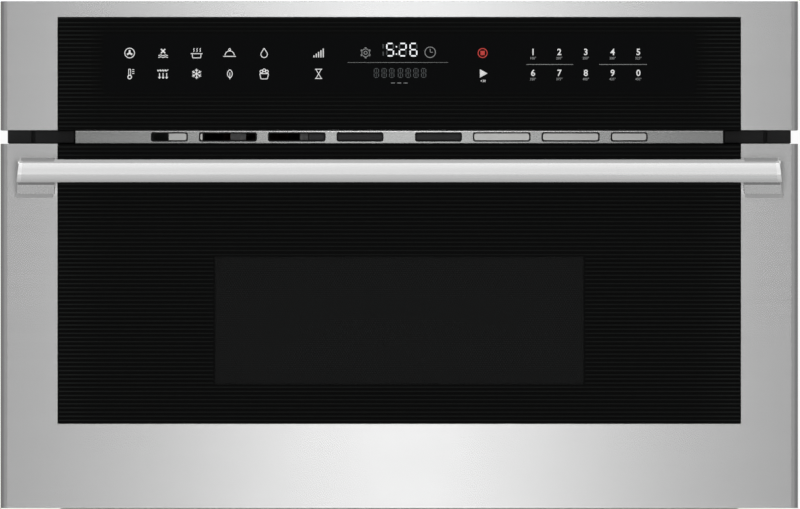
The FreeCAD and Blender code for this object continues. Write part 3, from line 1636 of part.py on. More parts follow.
def build_interlock():
    block = body("interlock_switch")
    x = ("latch_x - switch_width / 2", "latch_x + switch_width / 2")
    level = ("latch_z - switch_height / 2", "latch_z + switch_height / 2")
    pad(block, "XZ", "0", "switch_depth", lambda s: rectangle(s, x, level))
    well_x = ("latch_x - tongue_width / 2 - 2", "latch_x + tongue_width / 2 + 2")
    pocket(block, "XZ", "0", "switch_well", lambda s: rectangle(s, well_x, ("latch_z - 11", "latch_z + 12")))
    pocket(
        block,
        "XZ",
        "switch_well",
        "switch_depth - 3",
        lambda s: circle(s, "latch_x", "latch_z - 1", "plunger_radius + running_gap"),
    )
    pair("interlock_switches", block)
    for label, side in (("switch_plunger_left", -1), ("switch_plunger_right", 1)):
        place = (f"{side} * latch_x", "latch_z - 1")
        keep(label, rod(label, "y", "plunger_radius", "plunger_tip", "plunger_length", place))


def build_rear_fittings():
    gland = body("cord_gland")

    def bush(s):
        outside = "sheet + 3"
        polygon(
            s,
            [
                ("gland_bore", f"{outside} - gland_length"),
                ("gland_body", f"{outside} - gland_length"),
                ("gland_body", "sheet"),
                ("gland_flange", "sheet"),
                ("gland_flange", f"{outside} - 0.8"),
                ("gland_flange - 0.8", outside),
                ("gland_bore", outside),
            ],
        )

    revolve(gland, "XY", bush)
    keep("cord_gland", put(gland, "gland_x", "rear_face", "gland_z"))

    screws = []
    for x, z in rear_screw_places():
        head = rod("screw_head", "y", "screw_head_radius", "chassis_depth", "screw_head_height", (x, z))
        shank = rod("screw_shank", "y", "screw_shank_radius - running_gap", "rear_face", "sheet", (x, z))
        screws.append(fuse("screw", [head, shank]))
    keep("rear_screws", group("screw_group", screws))


def build_all():
    build_front_frame()
    build_base_pan()
    build_side_panel("left_side_panel", -1)
    build_side_panel("right_side_panel", 1)
    build_top_cover()
    build_rear_panel()
    build_cavity_floor()
    build_cavity_ceiling()
    build_cavity_wall("cavity_left_wall", -1, 4, 12)
    build_cavity_wall("cavity_right_wall", 1, 5, 6)
    build_cavity_rear_wall()
    build_turntable()
    build_hot_air()
    build_power()
    build_cooling_fan()
    build_lamp()
    build_vent()
    build_control_panel()
    build_door()
    build_handle()
    build_hinges()
    build_springs()
    build_interlock()
    build_rear_fittings()
    doc.recompute()


def check():
    """Stops the build if an object failed or a sub-part isn't made of whole, valid solids."""
    failed = [o.Label for o in doc.Objects if {"Invalid", "Error"} & set(o.State)]
    for label, item in parts.items():
        shape = item.Shape
        if shape.isNull() or not shape.isValid() or not shape.Solids:
            failed.append(label)
    if failed:
        raise RuntimeError(f"these didn't build: {sorted(set(failed))}")


def export():
    os.makedirs("parts", exist_ok=True)
    for label, item in parts.items():
        item.Shape.exportStep(os.path.join("parts", f"{label}.step"))
    print(f"{len(parts)} sub-parts written")


build_all()
check()
export()
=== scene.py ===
"""Looks of a built-in microwave oven with a drop-down door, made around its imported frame.

Shapes are drawn in millimetres and scaled to metres when they are finished. +X is to the right, the front faces
-Y and +Z is up, as in the frame.
"""

import logging
import math
from dataclasses import dataclass
from enum import Enum
from typing import Callable, ClassVar, Iterable, Mapping, Optional, Sequence, Union

import bmesh
import bpy
from bmesh.types import BMEdge, BMFace, BMVert
from mathutils import Matrix, Vector

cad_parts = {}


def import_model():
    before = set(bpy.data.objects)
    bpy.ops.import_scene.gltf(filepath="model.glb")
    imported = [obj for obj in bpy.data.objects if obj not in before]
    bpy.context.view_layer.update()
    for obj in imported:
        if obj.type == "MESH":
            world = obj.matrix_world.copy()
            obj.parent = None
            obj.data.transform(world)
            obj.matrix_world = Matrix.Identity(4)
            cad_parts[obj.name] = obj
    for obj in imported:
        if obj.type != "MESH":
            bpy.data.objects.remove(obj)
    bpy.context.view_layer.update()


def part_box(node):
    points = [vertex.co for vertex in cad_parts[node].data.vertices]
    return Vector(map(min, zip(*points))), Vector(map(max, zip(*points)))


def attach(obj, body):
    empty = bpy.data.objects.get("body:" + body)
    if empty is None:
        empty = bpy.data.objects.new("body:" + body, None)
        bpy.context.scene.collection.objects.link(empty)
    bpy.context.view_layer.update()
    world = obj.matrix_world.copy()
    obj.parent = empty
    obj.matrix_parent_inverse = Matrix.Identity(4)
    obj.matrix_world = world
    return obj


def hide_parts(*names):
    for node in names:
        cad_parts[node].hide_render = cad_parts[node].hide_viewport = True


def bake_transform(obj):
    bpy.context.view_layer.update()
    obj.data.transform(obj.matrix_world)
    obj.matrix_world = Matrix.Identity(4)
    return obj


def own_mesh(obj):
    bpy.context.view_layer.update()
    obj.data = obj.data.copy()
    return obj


MM = 0.001
NEAR = 0.001
TURN = 2 * math.pi
COIL_STEPS = 14
RING_STEPS = 36
WIRE_SIDES = 8
LOG = logging.getLogger("oven")

Colour = tuple[float, float, float]
Point = tuple[float, float]
Place = tuple[float, float, float]
Piece = bpy.types.Object


class Wire:
    """A shader value that takes part in Python arithmetic."""

    def __init__(self, graph: "Graph", socket: bpy.types.NodeSocket) -> None:
        """Keeps the graph and the socket that gives the value."""
        self.graph, self.socket = graph, socket

    def _with(self, operation: str, *values: "Value") -> "Wire":
        """Adds one Math node."""
        return self.graph.node("ShaderNodeMath", {"operation": operation}, dict(enumerate(values)))

    def __add__(self, other: "Value") -> "Wire":
        """This value plus another."""
        return self._with("ADD", self, other)

    def __sub__(self, other: "Value") -> "Wire":
        """This value less another."""
        return self._with("SUBTRACT", self, other)

    def __rsub__(self, other: "Value") -> "Wire":
        """A number less this value."""
        return self._with("SUBTRACT", other, self)

    def __mul__(self, other: "Value") -> "Wire":
        """This value times another."""
        return self._with("MULTIPLY", self, other)

    def __abs__(self) -> "Wire":
        """The value without its sign."""
        return self._with("ABSOLUTE", self)

    __radd__ = __add__
    __rmul__ = __mul__

    def fraction(self) -> "Wire":
        """What is left above the whole number below."""
        return self._with("FRACT", self)

    def root(self) -> "Wire":
        """The square root."""
        return self._with("SQRT", self)

    def least(self, other: "Value") -> "Wire":
        """The smaller of two values."""
        return self._with("MINIMUM", self, other)

    def swing(self, amount: float) -> "Wire":
        """How far the value lies from a half, times an amount."""
        return (self - 0.5) * amount

    def rise(self, low: float, high: float) -> "Wire":
        """A smooth step from 0 at low to 1 at high."""
        settings = {"interpolation_type": "SMOOTHSTEP"}
        return self.graph.node("ShaderNodeMapRange", settings, {0: self, 1: low, 2: high})

    def within(self, low: float, high: float, soft: float) -> "Wire":
        """1 between two limits and 0 past them, with soft edges."""
        half = soft / 2
        return self.rise(low - half, low + half) * (1 - self.rise(high - half, high + half))


Value = Union[Wire, float]


class Graph:
    """The node tree of one material or world."""

    def __init__(self, tree: bpy.types.NodeTree) -> None:
        """Starts from an empty tree."""
        self.tree = tree
        tree.nodes.clear()

    def feed(self, socket: bpy.types.NodeSocket, value: object) -> None:
        """Links a wire to a socket, or sets the socket's own value.

        Args:
            socket: The socket of a node.
            value: The wire or the value.
        """
        if isinstance(value, Wire):
            self.tree.links.new(value.socket, socket)
        else:
            socket.default_value = value

    def node(
        self,
        kind: str,
        settings: Optional[Mapping[str, object]] = None,
        inputs: Optional[Mapping[Union[str, int], object]] = None,
        output: Union[str, int] = 0,
    ) -> Wire:
        """Adds a node.

        Args:
            kind: The node's type.
            settings: Its own settings, which are set first.
            inputs: Values or wires by socket.
            output: The socket to take.

        Returns:
            The wire of that output.
        """
        made = self.tree.nodes.new(kind)
        for name, value in (settings or {}).items():
            setattr(made, name, value)
        for key, value in (inputs or {}).items():
            self.feed(made.inputs[key], value)
        return Wire(self, made.outputs[output])

    def coords(self, kind: str = "Object") -> Wire:
        """Coordinates. Those of an object are the frame's own, in metres."""
        return self.node("ShaderNodeTexCoord", output=kind)

    def split(self, vector: Wire) -> list[Wire]:
        """The X, Y and Z of a vector."""
        first = self.node("ShaderNodeSeparateXYZ", None, {0: vector})
        return [Wire(self, out) for out in first.socket.node.outputs]

    def axes(self) -> list[Wire]:
        """Object X, Y and Z in millimetres."""
        return [axis * (1 / MM) for axis in self.split(self.coords())]

    def noise(self, waves: Union[float, Place], detail: float = 2.0) -> Wire:
        """Smooth noise about 0.5.

        Args:
            waves: How many waves it has to a metre, on all axes or on each.
            detail: How many finer layers it has.

        Returns:
            The noise.
        """
        scale = waves if isinstance(waves, tuple) else (waves,) * 3
        spot = self.node("ShaderNodeVectorMath", {"operation": "MULTIPLY"}, {0: self.coords(), 1: scale})
        return self.node("ShaderNodeTexNoise", None, {"Vector": spot, "Scale": 1.0, "Detail": detail})

    def cells(self, scale: float) -> Wire:
        """A random value for each crystal-shaped cell."""
        picked = self.node("ShaderNodeTexVoronoi", None, {"Vector": self.coords(), "Scale": scale}, "Color")
        return self.node("ShaderNodeSeparateColor", None, {0: picked})

    def mix(self, factor: Value, first: Union[Wire, Colour], second: Colour) -> Wire:
        """A colour between two, of which the first may vary."""
        inputs = {0: factor, 6: first if isinstance(first, Wire) else rgba(first), 7: rgba(second)}
        return self.node("ShaderNodeMix", {"data_type": "RGBA"}, inputs, 2)

    def tones(self, factor: Value, tint: Colour, spread: float) -> Wire:
        """A colour from a darker to a lighter tone of a tint."""
        return self.mix(factor, shade(tint, 1 - spread), shade(tint, 1 + spread))

    def bump(self, height: Wire, strength: float, depth: float) -> Wire:
        """A surface normal from a height, whose depth is in millimetres."""
        return self.node("ShaderNodeBump", None, {"Strength": strength, "Distance": depth * MM, "Height": height})

    def principled(self, colour: Wire, roughness: Wire, others: Mapping[str, object]) -> Wire:
        """A Principled shader."""
        sockets = {"Base Color": colour, "Roughness": roughness, **others}
        return self.node("ShaderNodeBsdfPrincipled", None, sockets)

    def surface(self, colour: Wire, roughness: Wire, others: Mapping[str, object]) -> None:
        """Ends a material in one Principled shader."""
        self.end("ShaderNodeOutputMaterial", self.principled(colour, roughness, others))

    def end(self, kind: str, shader: Wire) -> None:
        """Ends the tree in its output node."""
        self.feed(self.tree.nodes.new(kind).inputs["Surface"], shader)


def rgba(colour: Colour) -> tuple[float, float, float, float]:
    """A colour with full cover."""
    return (*colour, 1.0)


def grey(level: float) -> Colour:
    """A colour without a hue."""
    return level, level, level


def shade(colour: Colour, factor: float) -> Colour:
    """A colour made lighter or darker."""
    red, green, blue = (min(1.0, part * factor) for part in colour)
    return red, green, blue


class Grain(Enum):
    """The way that brush marks run, as the axes that they are long on."""

    ALONG_X = (True, False, False)
    ALONG_Y = (False, True, False)
    ALONG_Z = (False, False, True)

    def scale(self, long: float, short: float) -> Place:
        """Waves to a metre on each axis: few along the marks, many across."""
        x, y, z = (long if run else short for run in self.value)
        return x, y, z


@dataclass(frozen=True)
class Finish:
    """A surface that pieces share. Each kind paints its own nodes."""

    made: ClassVar[dict["Finish", bpy.types.Material]] = {}
    name: str

    def paint(self, graph: Graph) -> None:
        """Adds the nodes of this finish."""
        raise NotImplementedError

    def material(self) -> bpy.types.Material:
        """Makes the Blender material, once.

        Returns:
            The material.
        """
        if self not in self.made:
            material = bpy.data.materials.new(self.name)
            material.use_nodes = True
            self.paint(Graph(material.node_tree))
            self.made[self] = material
        return self.made[self]


@dataclass(frozen=True)
class Brushed(Finish):
    """Brushed or rolled metal sheet."""

    tint: Colour
    roughness: float
    grain: Grain = Grain.ALONG_X
    contrast: float = 0.10
    smudge: float = 0.05

    def paint(self, graph: Graph) -> None:
        """Adds fine marks, broader streaks and the dull patches that wiping leaves.

        Args:
            graph: The material's nodes.
        """
        fine, streaks = graph.noise(self.grain.scale(9, 900), 2), graph.noise(self.grain.scale(2, 150), 3)
        wiped = graph.noise(7, 3)
        graph.surface(
            graph.tones(0.5 + fine.swing(0.8) + streaks.swing(0.8), self.tint, self.contrast),
            self.roughness + (fine.swing(self.smudge) + wiped.swing(self.smudge)),
            {"Metallic": 1.0, "Normal": graph.bump(fine, 0.03, 0.02)},
        )


@dataclass(frozen=True)
class Recessed(Finish):
    """Bare sheet that is duller, and darker by painted shade, where it lies deep behind the front."""

    tint: Colour
    deep_tint: Colour
    near: float
    far: float

    def paint(self, graph: Graph) -> None:
        """Adds bright metal in front and duller metal at the back, darkened there by patchy painted shade.

        Args:
            graph: The material's nodes.
        """
        _, y, _ = graph.axes()
        # Painted shade: the sheet darkens with depth behind the front, unevenly.
        depth, blotch = y.rise(self.near, self.far), graph.noise(260, 4)
        colour = graph.mix(depth * (0.75 + blotch * 0.5), self.tint, self.deep_tint)
        graph.surface(colour, 0.28 + depth * 0.1 + blotch * 0.06, {"Metallic": 1.0})


@dataclass(frozen=True)
class Galvanised(Finish):
    """Zinc-coated sheet with its crystal spangle."""

    tint: Colour
    roughness: float
    spangle: float = 95.0

    def paint(self, graph: Graph) -> None:
        """Adds large crystals, small ones inside them, and faint rolling lines.

        Args:
            graph: The material's nodes.
        """
        large, small = graph.cells(self.spangle), graph.cells(self.spangle * 3.1)
        rolled = graph.noise((5, 5, 420), 2)
        tone = large * 0.5 + small * 0.3 + rolled * 0.2
        graph.surface(
            graph.mix(tone, shade(self.tint, 0.91), shade(self.tint, 1.07)),
            self.roughness + large.swing(0.06) + rolled.swing(0.06),
            {"Metallic": 0.92, "Normal": graph.bump(small, 0.06, 0.04)},
        )


@dataclass(frozen=True)
class Cast(Finish):
    """Bare or plated metal of a worked piece: machined, cast, drawn or plated."""

    tint: Colour
    roughness: float
    mottle: float = 220.0
    contrast: float = 0.12

    def paint(self, graph: Graph) -> None:
        """Adds a mottled tone, dull patches and a fine skin.

        Args:
            graph: The material's nodes.
        """
        mottle, patches = graph.noise(self.mottle, 4), graph.noise(24, 3)
        tone = (mottle * 0.6 + patches * 0.4).rise(0.3, 0.7)
        graph.surface(
            graph.tones(tone, self.tint, self.contrast),
            self.roughness + patches.swing(0.2),
            {"Metallic": 1.0, "Normal": graph.bump(mottle, 0.12, 0.05)},
        )


@dataclass(frozen=True)
class Moulded(Finish):
    """Plastic, enamel, rubber, ceramic or varnish: a coloured skin with a fine grain."""

    tint: Colour
    roughness: float
    texture: float = 900.0
    depth: float = 0.04
    contrast: float = 0.15
    gloss: float = 0.4

    def paint(self, graph: Graph) -> None:
        """Adds a pebbled grain, slight unevenness of colour and handled patches.

        Args:
            graph: The material's nodes.
        """
        grain, uneven = graph.noise(self.texture, 2), graph.noise(18, 3)
        graph.surface(
            graph.tones(uneven * 0.7 + grain * 0.3, self.tint, self.contrast),
            self.roughness + grain.swing(0.12) + uneven.swing(0.14),
            {"Specular IOR Level": self.gloss, "Normal": graph.bump(grain, 0.2, self.depth)},
        )


@dataclass(frozen=True)
class Zone:
    """A rectangle on the front with soft sides, in millimetres."""

    left: float
    right: float
    bottom: float
    top: float
    soft: float

    def mask(self, x: Wire, z: Wire) -> Wire:
        """1 inside and 0 outside."""
        return x.within(self.left, self.right, self.soft) * z.within(self.bottom, self.top, self.soft)

    def inset(self, border: float, soft: float) -> "Zone":
        """The rectangle inside a border."""
        return Zone(self.left + border, self.right - border, self.bottom + border, self.top - border, soft)


@dataclass(frozen=True)
class PrintedGlass(Finish):
    """Black glass with printed pinstripes and a clear place in them."""

    clear: Zone
    clear_tone: Colour
    see_through: float
    border: float
    pitch: float = 3.94
    first_line: float = 104.1
    line_share: float = 0.32
    black: Colour = (0.0006, 0.0008, 0.0007)
    line: Colour = (0.0150, 0.0166, 0.0158)
    reflection_from: float = 275.0
    reflection_to: float = 325.0

    def paint(self, graph: Graph) -> None:
        """Adds stripes by height, which fade out round the clear place and grow lighter towards both sides as a painted
        reflection. That may be see-through.

        Args:
            graph: The material's nodes.
        """
        x, _, z = graph.axes()
        inner = self.clear.inset(self.border, self.border * 1.2).mask(x, z)
        beat = abs(((z - self.first_line) * (1 / self.pitch) + 0.5).fraction() - 0.5)
        half = self.line_share / 2
        stripe = (1 - beat.rise(half * 0.5, half * 1.4)) * (1 - self.clear.mask(x, z))
        ink, wiped = graph.noise(160, 2), graph.noise(9, 3)
        # Painted reflection: the stripes grow lighter towards both sides.
        side = abs(x).rise(self.reflection_from, self.reflection_to)
        ground = graph.mix(stripe * (0.35 + ink * 0.3 + side * 0.4), self.black, self.line)
        graph.surface(
            graph.mix(inner, ground, self.clear_tone),
            0.06 + wiped * 0.05 + stripe * 0.2,
            {"Specular IOR Level": 0.15, "Alpha": 1 - inner * self.see_through},
        )


@dataclass(frozen=True)
class ClearGlass(Finish):
    """Clear or tinted glass."""

    tint: Colour
    roughness: float

    def paint(self, graph: Graph) -> None:
        """Adds clear glass with faint marks of washing.

        Args:
            graph: The material's nodes.
        """
        washed = graph.noise(30, 3)
        colour = graph.mix(washed, shade(self.tint, 0.96), self.tint)
        graph.surface(colour, self.roughness + washed.swing(0.04), {"IOR": 1.47, "Transmission Weight": 1.0})


@dataclass(frozen=True)
class Perforated(Finish):
    """Painted sheet with a close field of round holes."""

    tint: Colour
    pitch: float
    hole: float
    field: Zone

    def paint(self, graph: Graph) -> None:
        """Adds two grids of holes, one set between the other.

        Args:
            graph: The material's nodes.
        """
        x, _, z = graph.axes()
        rows = math.sqrt(3)
        across, up = x * (1 / self.pitch), z * (1 / (self.pitch * rows))
        nearest = self._reach(across, up, rows).least(self._reach(across + 0.5, up + 0.5, rows))
        share = self.hole / self.pitch
        hole = (1 - nearest.rise(share * 0.9, share * 1.1)) * self.field.mask(x, z)
        paint = graph.noise(500, 2)
        graph.surface(graph.tones(paint, self.tint, 0.2), 0.38 + paint.swing(0.15), {"Alpha": 1 - hole})

    @staticmethod
    def _reach(across: Wire, up: Wire, rows: float) -> Wire:
        """How far a point is from the middle of its cell, in pitches."""
        side, rise = across.fraction() - 0.5, up.fraction().swing(rows)
        return (side * side + rise * rise).root()


@dataclass(frozen=True)
class Lit(Finish):
    """Printed ink with a painted glow, or a lit segment on the touch glass."""

    tint: Colour
    glow: float

    def paint(self, graph: Graph) -> None:
        """Adds an even tone with the slight mottle of ink, which also glows: a painted glow on print and unlit bars, a
        real one on a lit segment.

        Args:
            graph: The material's nodes.
        """
        mottle = graph.noise(700, 2)
        tone = graph.mix(mottle, shade(self.tint, 0.86), self.tint)
        graph.surface(tone, 0.5 + mottle.swing(0.1), {"Emission Color": tone, "Emission Strength": self.glow})


@dataclass(frozen=True)
class Circuit(Finish):
    """A varnished circuit board with its copper tracks."""

    tint: Colour
    track: Colour

    def paint(self, graph: Graph) -> None:
        """Adds tracks along both ways of the board under green varnish.

        Args:
            graph: The material's nodes.
        """
        x, _, z = graph.axes()
        cell, varnish = graph.cells(130), graph.noise(60, 2)
        along, up = (abs((way * 0.4 + cell * 0.5).fraction() - 0.5) for way in (x, z))
        tracks = 1 - along.least(up).rise(0.08, 0.14)
        colour = graph.mix(tracks, self.tint, self.track)
        graph.surface(colour, 0.32 + varnish * 0.12, {"Normal": graph.bump(tracks, 0.3, 0.03)})


@dataclass(frozen=True)
class StudioPaint(Finish):
    """Pale matt paint that fades into the backdrop where it is seen edge on."""

    tint: Colour
    backdrop: float

    def paint(self, graph: Graph) -> None:
        """Adds slightly uneven paint under a glow that comes in at low angles.

        Args:
            graph: The material's nodes.
        """
        uneven = graph.noise(1.5, 3)
        colour = graph.tones(uneven, self.tint, 0.02)
        shader = graph.principled(colour, 0.6 + uneven.swing(0.1), {"Specular IOR Level": 0.2})
        glow = graph.node("ShaderNodeEmission", None, {"Strength": self.backdrop})
        low_angle = graph.node("ShaderNodeLayerWeight", None, {"Blend": 0.5}, "Facing").rise(0.88, 0.96)
        mixed = graph.node("ShaderNodeMixShader", None, {0: low_angle, 1: shader, 2: glow})
        graph.end("ShaderNodeOutputMaterial", mixed)


@dataclass(frozen=True)
class Laminated(Finish):
    """Stacked iron sheets of a transformer core."""

    tint: Colour
    sheet: float

    def paint(self, graph: Graph) -> None:
        """Adds sheet edges by depth, with varnish stains.

        Args:
            graph: The material's nodes.
        """
        _, y, _ = graph.axes()
        edge = abs((y * (1 / self.sheet)).fraction() - 0.5).rise(0.32, 0.5)
        blotch = graph.noise(40, 3)
        graph.surface(
            graph.mix(edge * 0.7 + blotch * 0.3, self.tint, shade(self.tint, 0.45)),
            0.5 + blotch.swing(0.2),
            {"Metallic": 0.8, "Normal": graph.bump(edge, 0.5, 0.1)},
        )


@dataclass(frozen=True)
class Box:
    """The box round a CAD node, in millimetres."""

    low: Vector
    high: Vector

    @classmethod
    def of(cls, node: str) -> "Box":
        """The box of a node in the frame."""
        low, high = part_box(node)
        return cls(low / MM, high / MM)

    def middle(self) -> Place:
        """The middle of the box."""
        x, y, z = ((low + high) / 2 for low, high in zip(self.low, self.high))
        return x, y, z


class Plane(Enum):
    """The plane that an outline is drawn on: its two axes, then the axis that it is pushed along."""

    FRONT = (0, 2, 1)
    SIDE = (1, 2, 0)
    TOP = (0, 1, 2)

    def place(self, across: float, up: float, depth: float) -> Vector:
        """A point of the outline at some depth."""
        spots = dict(zip(self.value, (across, up, depth)))
        return Vector([spots[axis] for axis in range(3)])


def corners(low: Point, high: Point) -> list[Point]:
    """The four corners of a rectangle."""
    return [low, (high[0], low[1]), high, (low[0], high[1])]


def verts_of(geom: Iterable[object]) -> list[BMVert]:
    """The vertices among some geometry."""
    return [item for item in geom if isinstance(item, BMVert)]


class Rounded(Enum):
    """What a bevel rounds."""

    EDGES = "EDGES"
    CORNERS = "VERTICES"


class Shape:
    """A mesh under way, in millimetres."""

    def __init__(self) -> None:
        """Starts empty."""
        self.mesh = bmesh.new()

    def block(self, low: Sequence[float], high: Sequence[float]) -> None:
        """Adds a block.

        Args:
            low: Its lower corner.
            high: Its upper corner.
        """
        made = bmesh.ops.create_cube(self.mesh, size=1.0)["verts"]
        low, high = Vector(low), Vector(high)
        bmesh.ops.scale(self.mesh, vec=high - low, verts=made)
        bmesh.ops.translate(self.mesh, vec=(low + high) / 2, verts=made)

    def face(self, plane: Plane, outline: Sequence[Point], depth: float) -> BMFace:
        """One flat face from its corners."""
        spots = [self.mesh.verts.new(plane.place(a, b, depth)) for a, b in outline]
        return self.mesh.faces.new(spots)

    def push(self, faces: Sequence[BMFace], way: Vector) -> list[BMVert]:
        """Extrudes faces.

        Args:
            faces: The faces, which stay as the near end.
            way: How far they are pushed.

        Returns:
            The vertices of the far end.
        """
        far = verts_of(bmesh.ops.extrude_face_region(self.mesh, geom=faces)["geom"])
        bmesh.ops.translate(self.mesh, vec=way, verts=far)
        return far

    def slab(self, plane: Plane, outline: Sequence[Point], low: float, high: float) -> list[BMVert]:
        """A solid with that outline between two depths."""
        face = self.face(plane, outline, low)
        return [*face.verts, *self.push([face], plane.place(0, 0, high - low))]

    def rod(
        self, start: Place, end: Place, radius: float, sides: int = WIRE_SIDES, tip: Optional[float] = None
    ) -> list[BMVert]:
        """Adds a round bar or cone between two points.

        Args:
            start: The middle of the first end.
            end: The middle of the other end.
            radius: The radius at the start.
            sides: How many flats it has.
            tip: The radius at the end, if that differs.

        Returns:
            The vertices that were made.
        """
        first, last = Vector(start), Vector(end)
        run = last - first
        turn = Vector((0, 0, 1)).rotation_difference(run).to_matrix().to_4x4()
        made = bmesh.ops.create_cone(
            self.mesh,
            cap_ends=True,
            segments=sides,
            radius1=radius,
            radius2=radius if tip is None else tip,
            depth=run.length,
            matrix=Matrix.Translation((first + last) / 2) @ turn,
        )
        return made["verts"]

    def ring(
        self, low: Point, high: Point, front: float, wall: float, bends: Point, thickness: float
    ) -> None:
        """Adds an upright frame with rounded corners.

        Args:
            low: Its lower outer corner, across and up.
            high: Its upper outer corner.
            front: Where its front lies.
            wall: The width of the frame.
            bends: The radius of the outer corners and of the inner ones.
            thickness: How deep it is.
        """
        loops: list[BMEdge] = []
        for inset, bend in zip((0.0, wall), bends):
            outline = corners((low[0] + inset, low[1] + inset), (high[0] - inset, high[1] - inset))
            face = self.face(Plane.FRONT, outline, front)
            rounded = self.bevel(face.verts, bend, 4, Rounded.CORNERS)
            face = max({f for vert in rounded for f in vert.link_faces}, key=BMFace.calc_area)
            loops += face.edges
            bmesh.ops.delete(self.mesh, geom=[face], context="FACES_ONLY")
        frame = bmesh.ops.bridge_loops(self.mesh, edges=loops)["faces"]
        self.push(frame, Plane.FRONT.place(0, 0, thickness))

    def helix(
        self, start: Place, end: Place, radius: float, wire: float, turns: float, phase: float = 0.0
    ) -> None:
        """Adds a coil of round wire along Y.

        Args:
            start: The middle of the first turn.
            end: The middle of the last turn.
            radius: The radius of the coil.
            wire: The radius of the wire.
            turns: How many turns it has.
            phase: Where the first turn starts, in degrees.
        """
        middle, run = Vector(start), Vector(end) - Vector(start)
        turn = Matrix.Rotation(math.radians(phase), 4, "Y")
        spot = Matrix.Translation(middle) @ turn @ Matrix.Translation((radius, 0, 0))
        ring = bmesh.ops.create_circle(self.mesh, cap_ends=True, radius=wire, segments=WIRE_SIDES, matrix=spot)["verts"]
        faces = {face for vert in ring for face in vert.link_faces}
        edges = {edge for vert in ring for edge in vert.link_edges}
        steps = round(turns * COIL_STEPS)
        bmesh.ops.spin(
            self.mesh,
            geom=[*ring, *edges, *faces],
            cent=middle,
            axis=(0, 1, 0),
            dvec=run / steps,
            angle=TURN * turns,
            steps=steps,
        )

    def arc(
        self, middle: Point, radius: float, width: float, depth: float, start: float = 0.0, share: float = 1.0
    ) -> None:
        """Adds a flat ring or part of one, facing the front.

        Args:
            middle: Its centre, across and up.
            radius: The radius at the middle of the line.
            width: The line's width.
            depth: Where it lies on Y.
            start: Where it starts, in degrees from +X.
            share: How much of the full turn it has.
        """
        centre = Plane.FRONT.place(*middle, depth)
        way = math.radians(start)
        out = Plane.FRONT.place(math.cos(way), math.sin(way), 0)
        ends = [self.mesh.verts.new(centre + out * (radius + side * width / 2)) for side in (-1, 1)]
        bmesh.ops.spin(
            self.mesh,
            geom=[self.mesh.edges.new(ends), *ends],
            cent=centre,
            axis=(0, -1, 0),
            angle=TURN * share,
            steps=max(RING_STEPS // 6, round(share * RING_STEPS)),
            use_merge=share >= 1.0,
        )

    def stroke(self, start: Point, end: Point, width: float, depth: float) -> None:
        """Adds a flat straight line, facing the front.

        Args:
            start: One end, across and up.
            end: The other end.
            width: The line's width.
            depth: Where it lies on Y.
        """
        first, last = Vector(start), Vector(end)
        side = (last - first).orthogonal().normalized() * (width / 2)
        self.face(Plane.FRONT, [first - side, last - side, last + side, first + side], depth)

    def join(self, other: "Shape") -> None:
        """Adds another shape and ends it.

        Args:
            other: The shape that goes into this one.
        """
        data = bpy.data.meshes.new("joined")
        other.mesh.to_mesh(data)
        other.mesh.free()
        self.mesh.from_mesh(data)
        bpy.data.meshes.remove(data)

    def bead(
        self, plane: Plane, low: Point, high: Point, seat: float, rise: float, corner: Optional[float] = None
    ) -> None:
        """Adds a raised bead or plate on a sheet, with rounded corners and a rounded rim.

        Args:
            plane: The plane of the sheet.
            low: Its first corner on the sheet.
            high: Its other corner.
            seat: Where the sheet's face lies.
            rise: How far the bead stands out, with its sign.
            corner: The radius of its corners, if its ends aren't round.
        """
        round_end, round_rim = 0.48, 0.95
        bead, axis = Shape(), plane.value[2]
        bead.slab(plane, corners(low, high), seat, seat + rise)
        upright = bead.edges(lambda e: abs(e.verts[0].co[axis] - e.verts[1].co[axis]) > abs(rise) / 2)
        bead.bevel(upright, corner or round_end * min(high[0] - low[0], high[1] - low[1]), 5)
        bead.bevel(bead.edges_at(axis, seat + rise), abs(rise) * round_rim, 4)
        self.join(bead)

    def lathe(self, profile: Sequence[Point], centre: Point, steps: int) -> None:
        """Adds a solid turned about an upright axis.

        Args:
            profile: Its section, out from the axis and up, which starts and ends on the axis.
            centre: Where the axis stands, on X and Y.
            steps: How many flats it has.
        """
        spots = [self.mesh.verts.new((centre[0] + out, centre[1], up)) for out, up in profile]
        edges = [self.mesh.edges.new(pair) for pair in zip(spots, spots[1:])]
        bmesh.ops.spin(
            self.mesh,
            geom=[*spots, *edges],
            cent=(*centre, 0.0),
            axis=(0, 0, 1),
            angle=TURN,
            steps=steps,
            use_merge=True,
        )
        bmesh.ops.remove_doubles(self.mesh, verts=self.mesh.verts, dist=NEAR)

    def edges(self, test: Callable[[BMEdge], bool]) -> list[BMEdge]:
        """The edges that pass a test."""
        return [edge for edge in self.mesh.edges if test(edge)]

    def edges_at(self, axis: int, level: float) -> list[BMEdge]:
        """The edges that lie at one level of an axis."""
        return self.edges(lambda e: all(abs(v.co[axis] - level) < NEAR for v in e.verts))

    def sharp(self, limit: float = 30.0) -> list[BMEdge]:
        """The edges where two faces meet at more than some degrees."""
        least = math.radians(limit)
        return self.edges(lambda e: e.calc_face_angle(0.0) > least)

    def bevel(
        self, geom: Iterable[object], width: float, segments: int = 3, rounded: Rounded = Rounded.EDGES
    ) -> list[BMVert]:
        """Rounds edges or corners.

        Args:
            geom: The edges or the vertices.
            width: How far the rounding reaches.
            segments: How many flats it has.
            rounded: Which of the two it rounds.

        Returns:
            The new vertices.
        """
        made = bmesh.ops.bevel(
            self.mesh,
            geom=list(geom),
            offset=width,
            offset_type="OFFSET",
            segments=segments,
            profile=0.5,
            affect=rounded.value,
            clamp_overlap=True,
            material=-1,
        )
        return made["verts"]

    def mirror(self) -> None:
        """Adds the same shape on the other side of the middle plane."""
        whole = [*self.mesh.verts, *self.mesh.edges, *self.mesh.faces]
        twin = bmesh.ops.duplicate(self.mesh, geom=whole)["geom"]
        bmesh.ops.scale(self.mesh, vec=(-1, 1, 1), verts=verts_of(twin))
        bmesh.ops.reverse_faces(self.mesh, faces=[item for item in twin if isinstance(item, BMFace)])

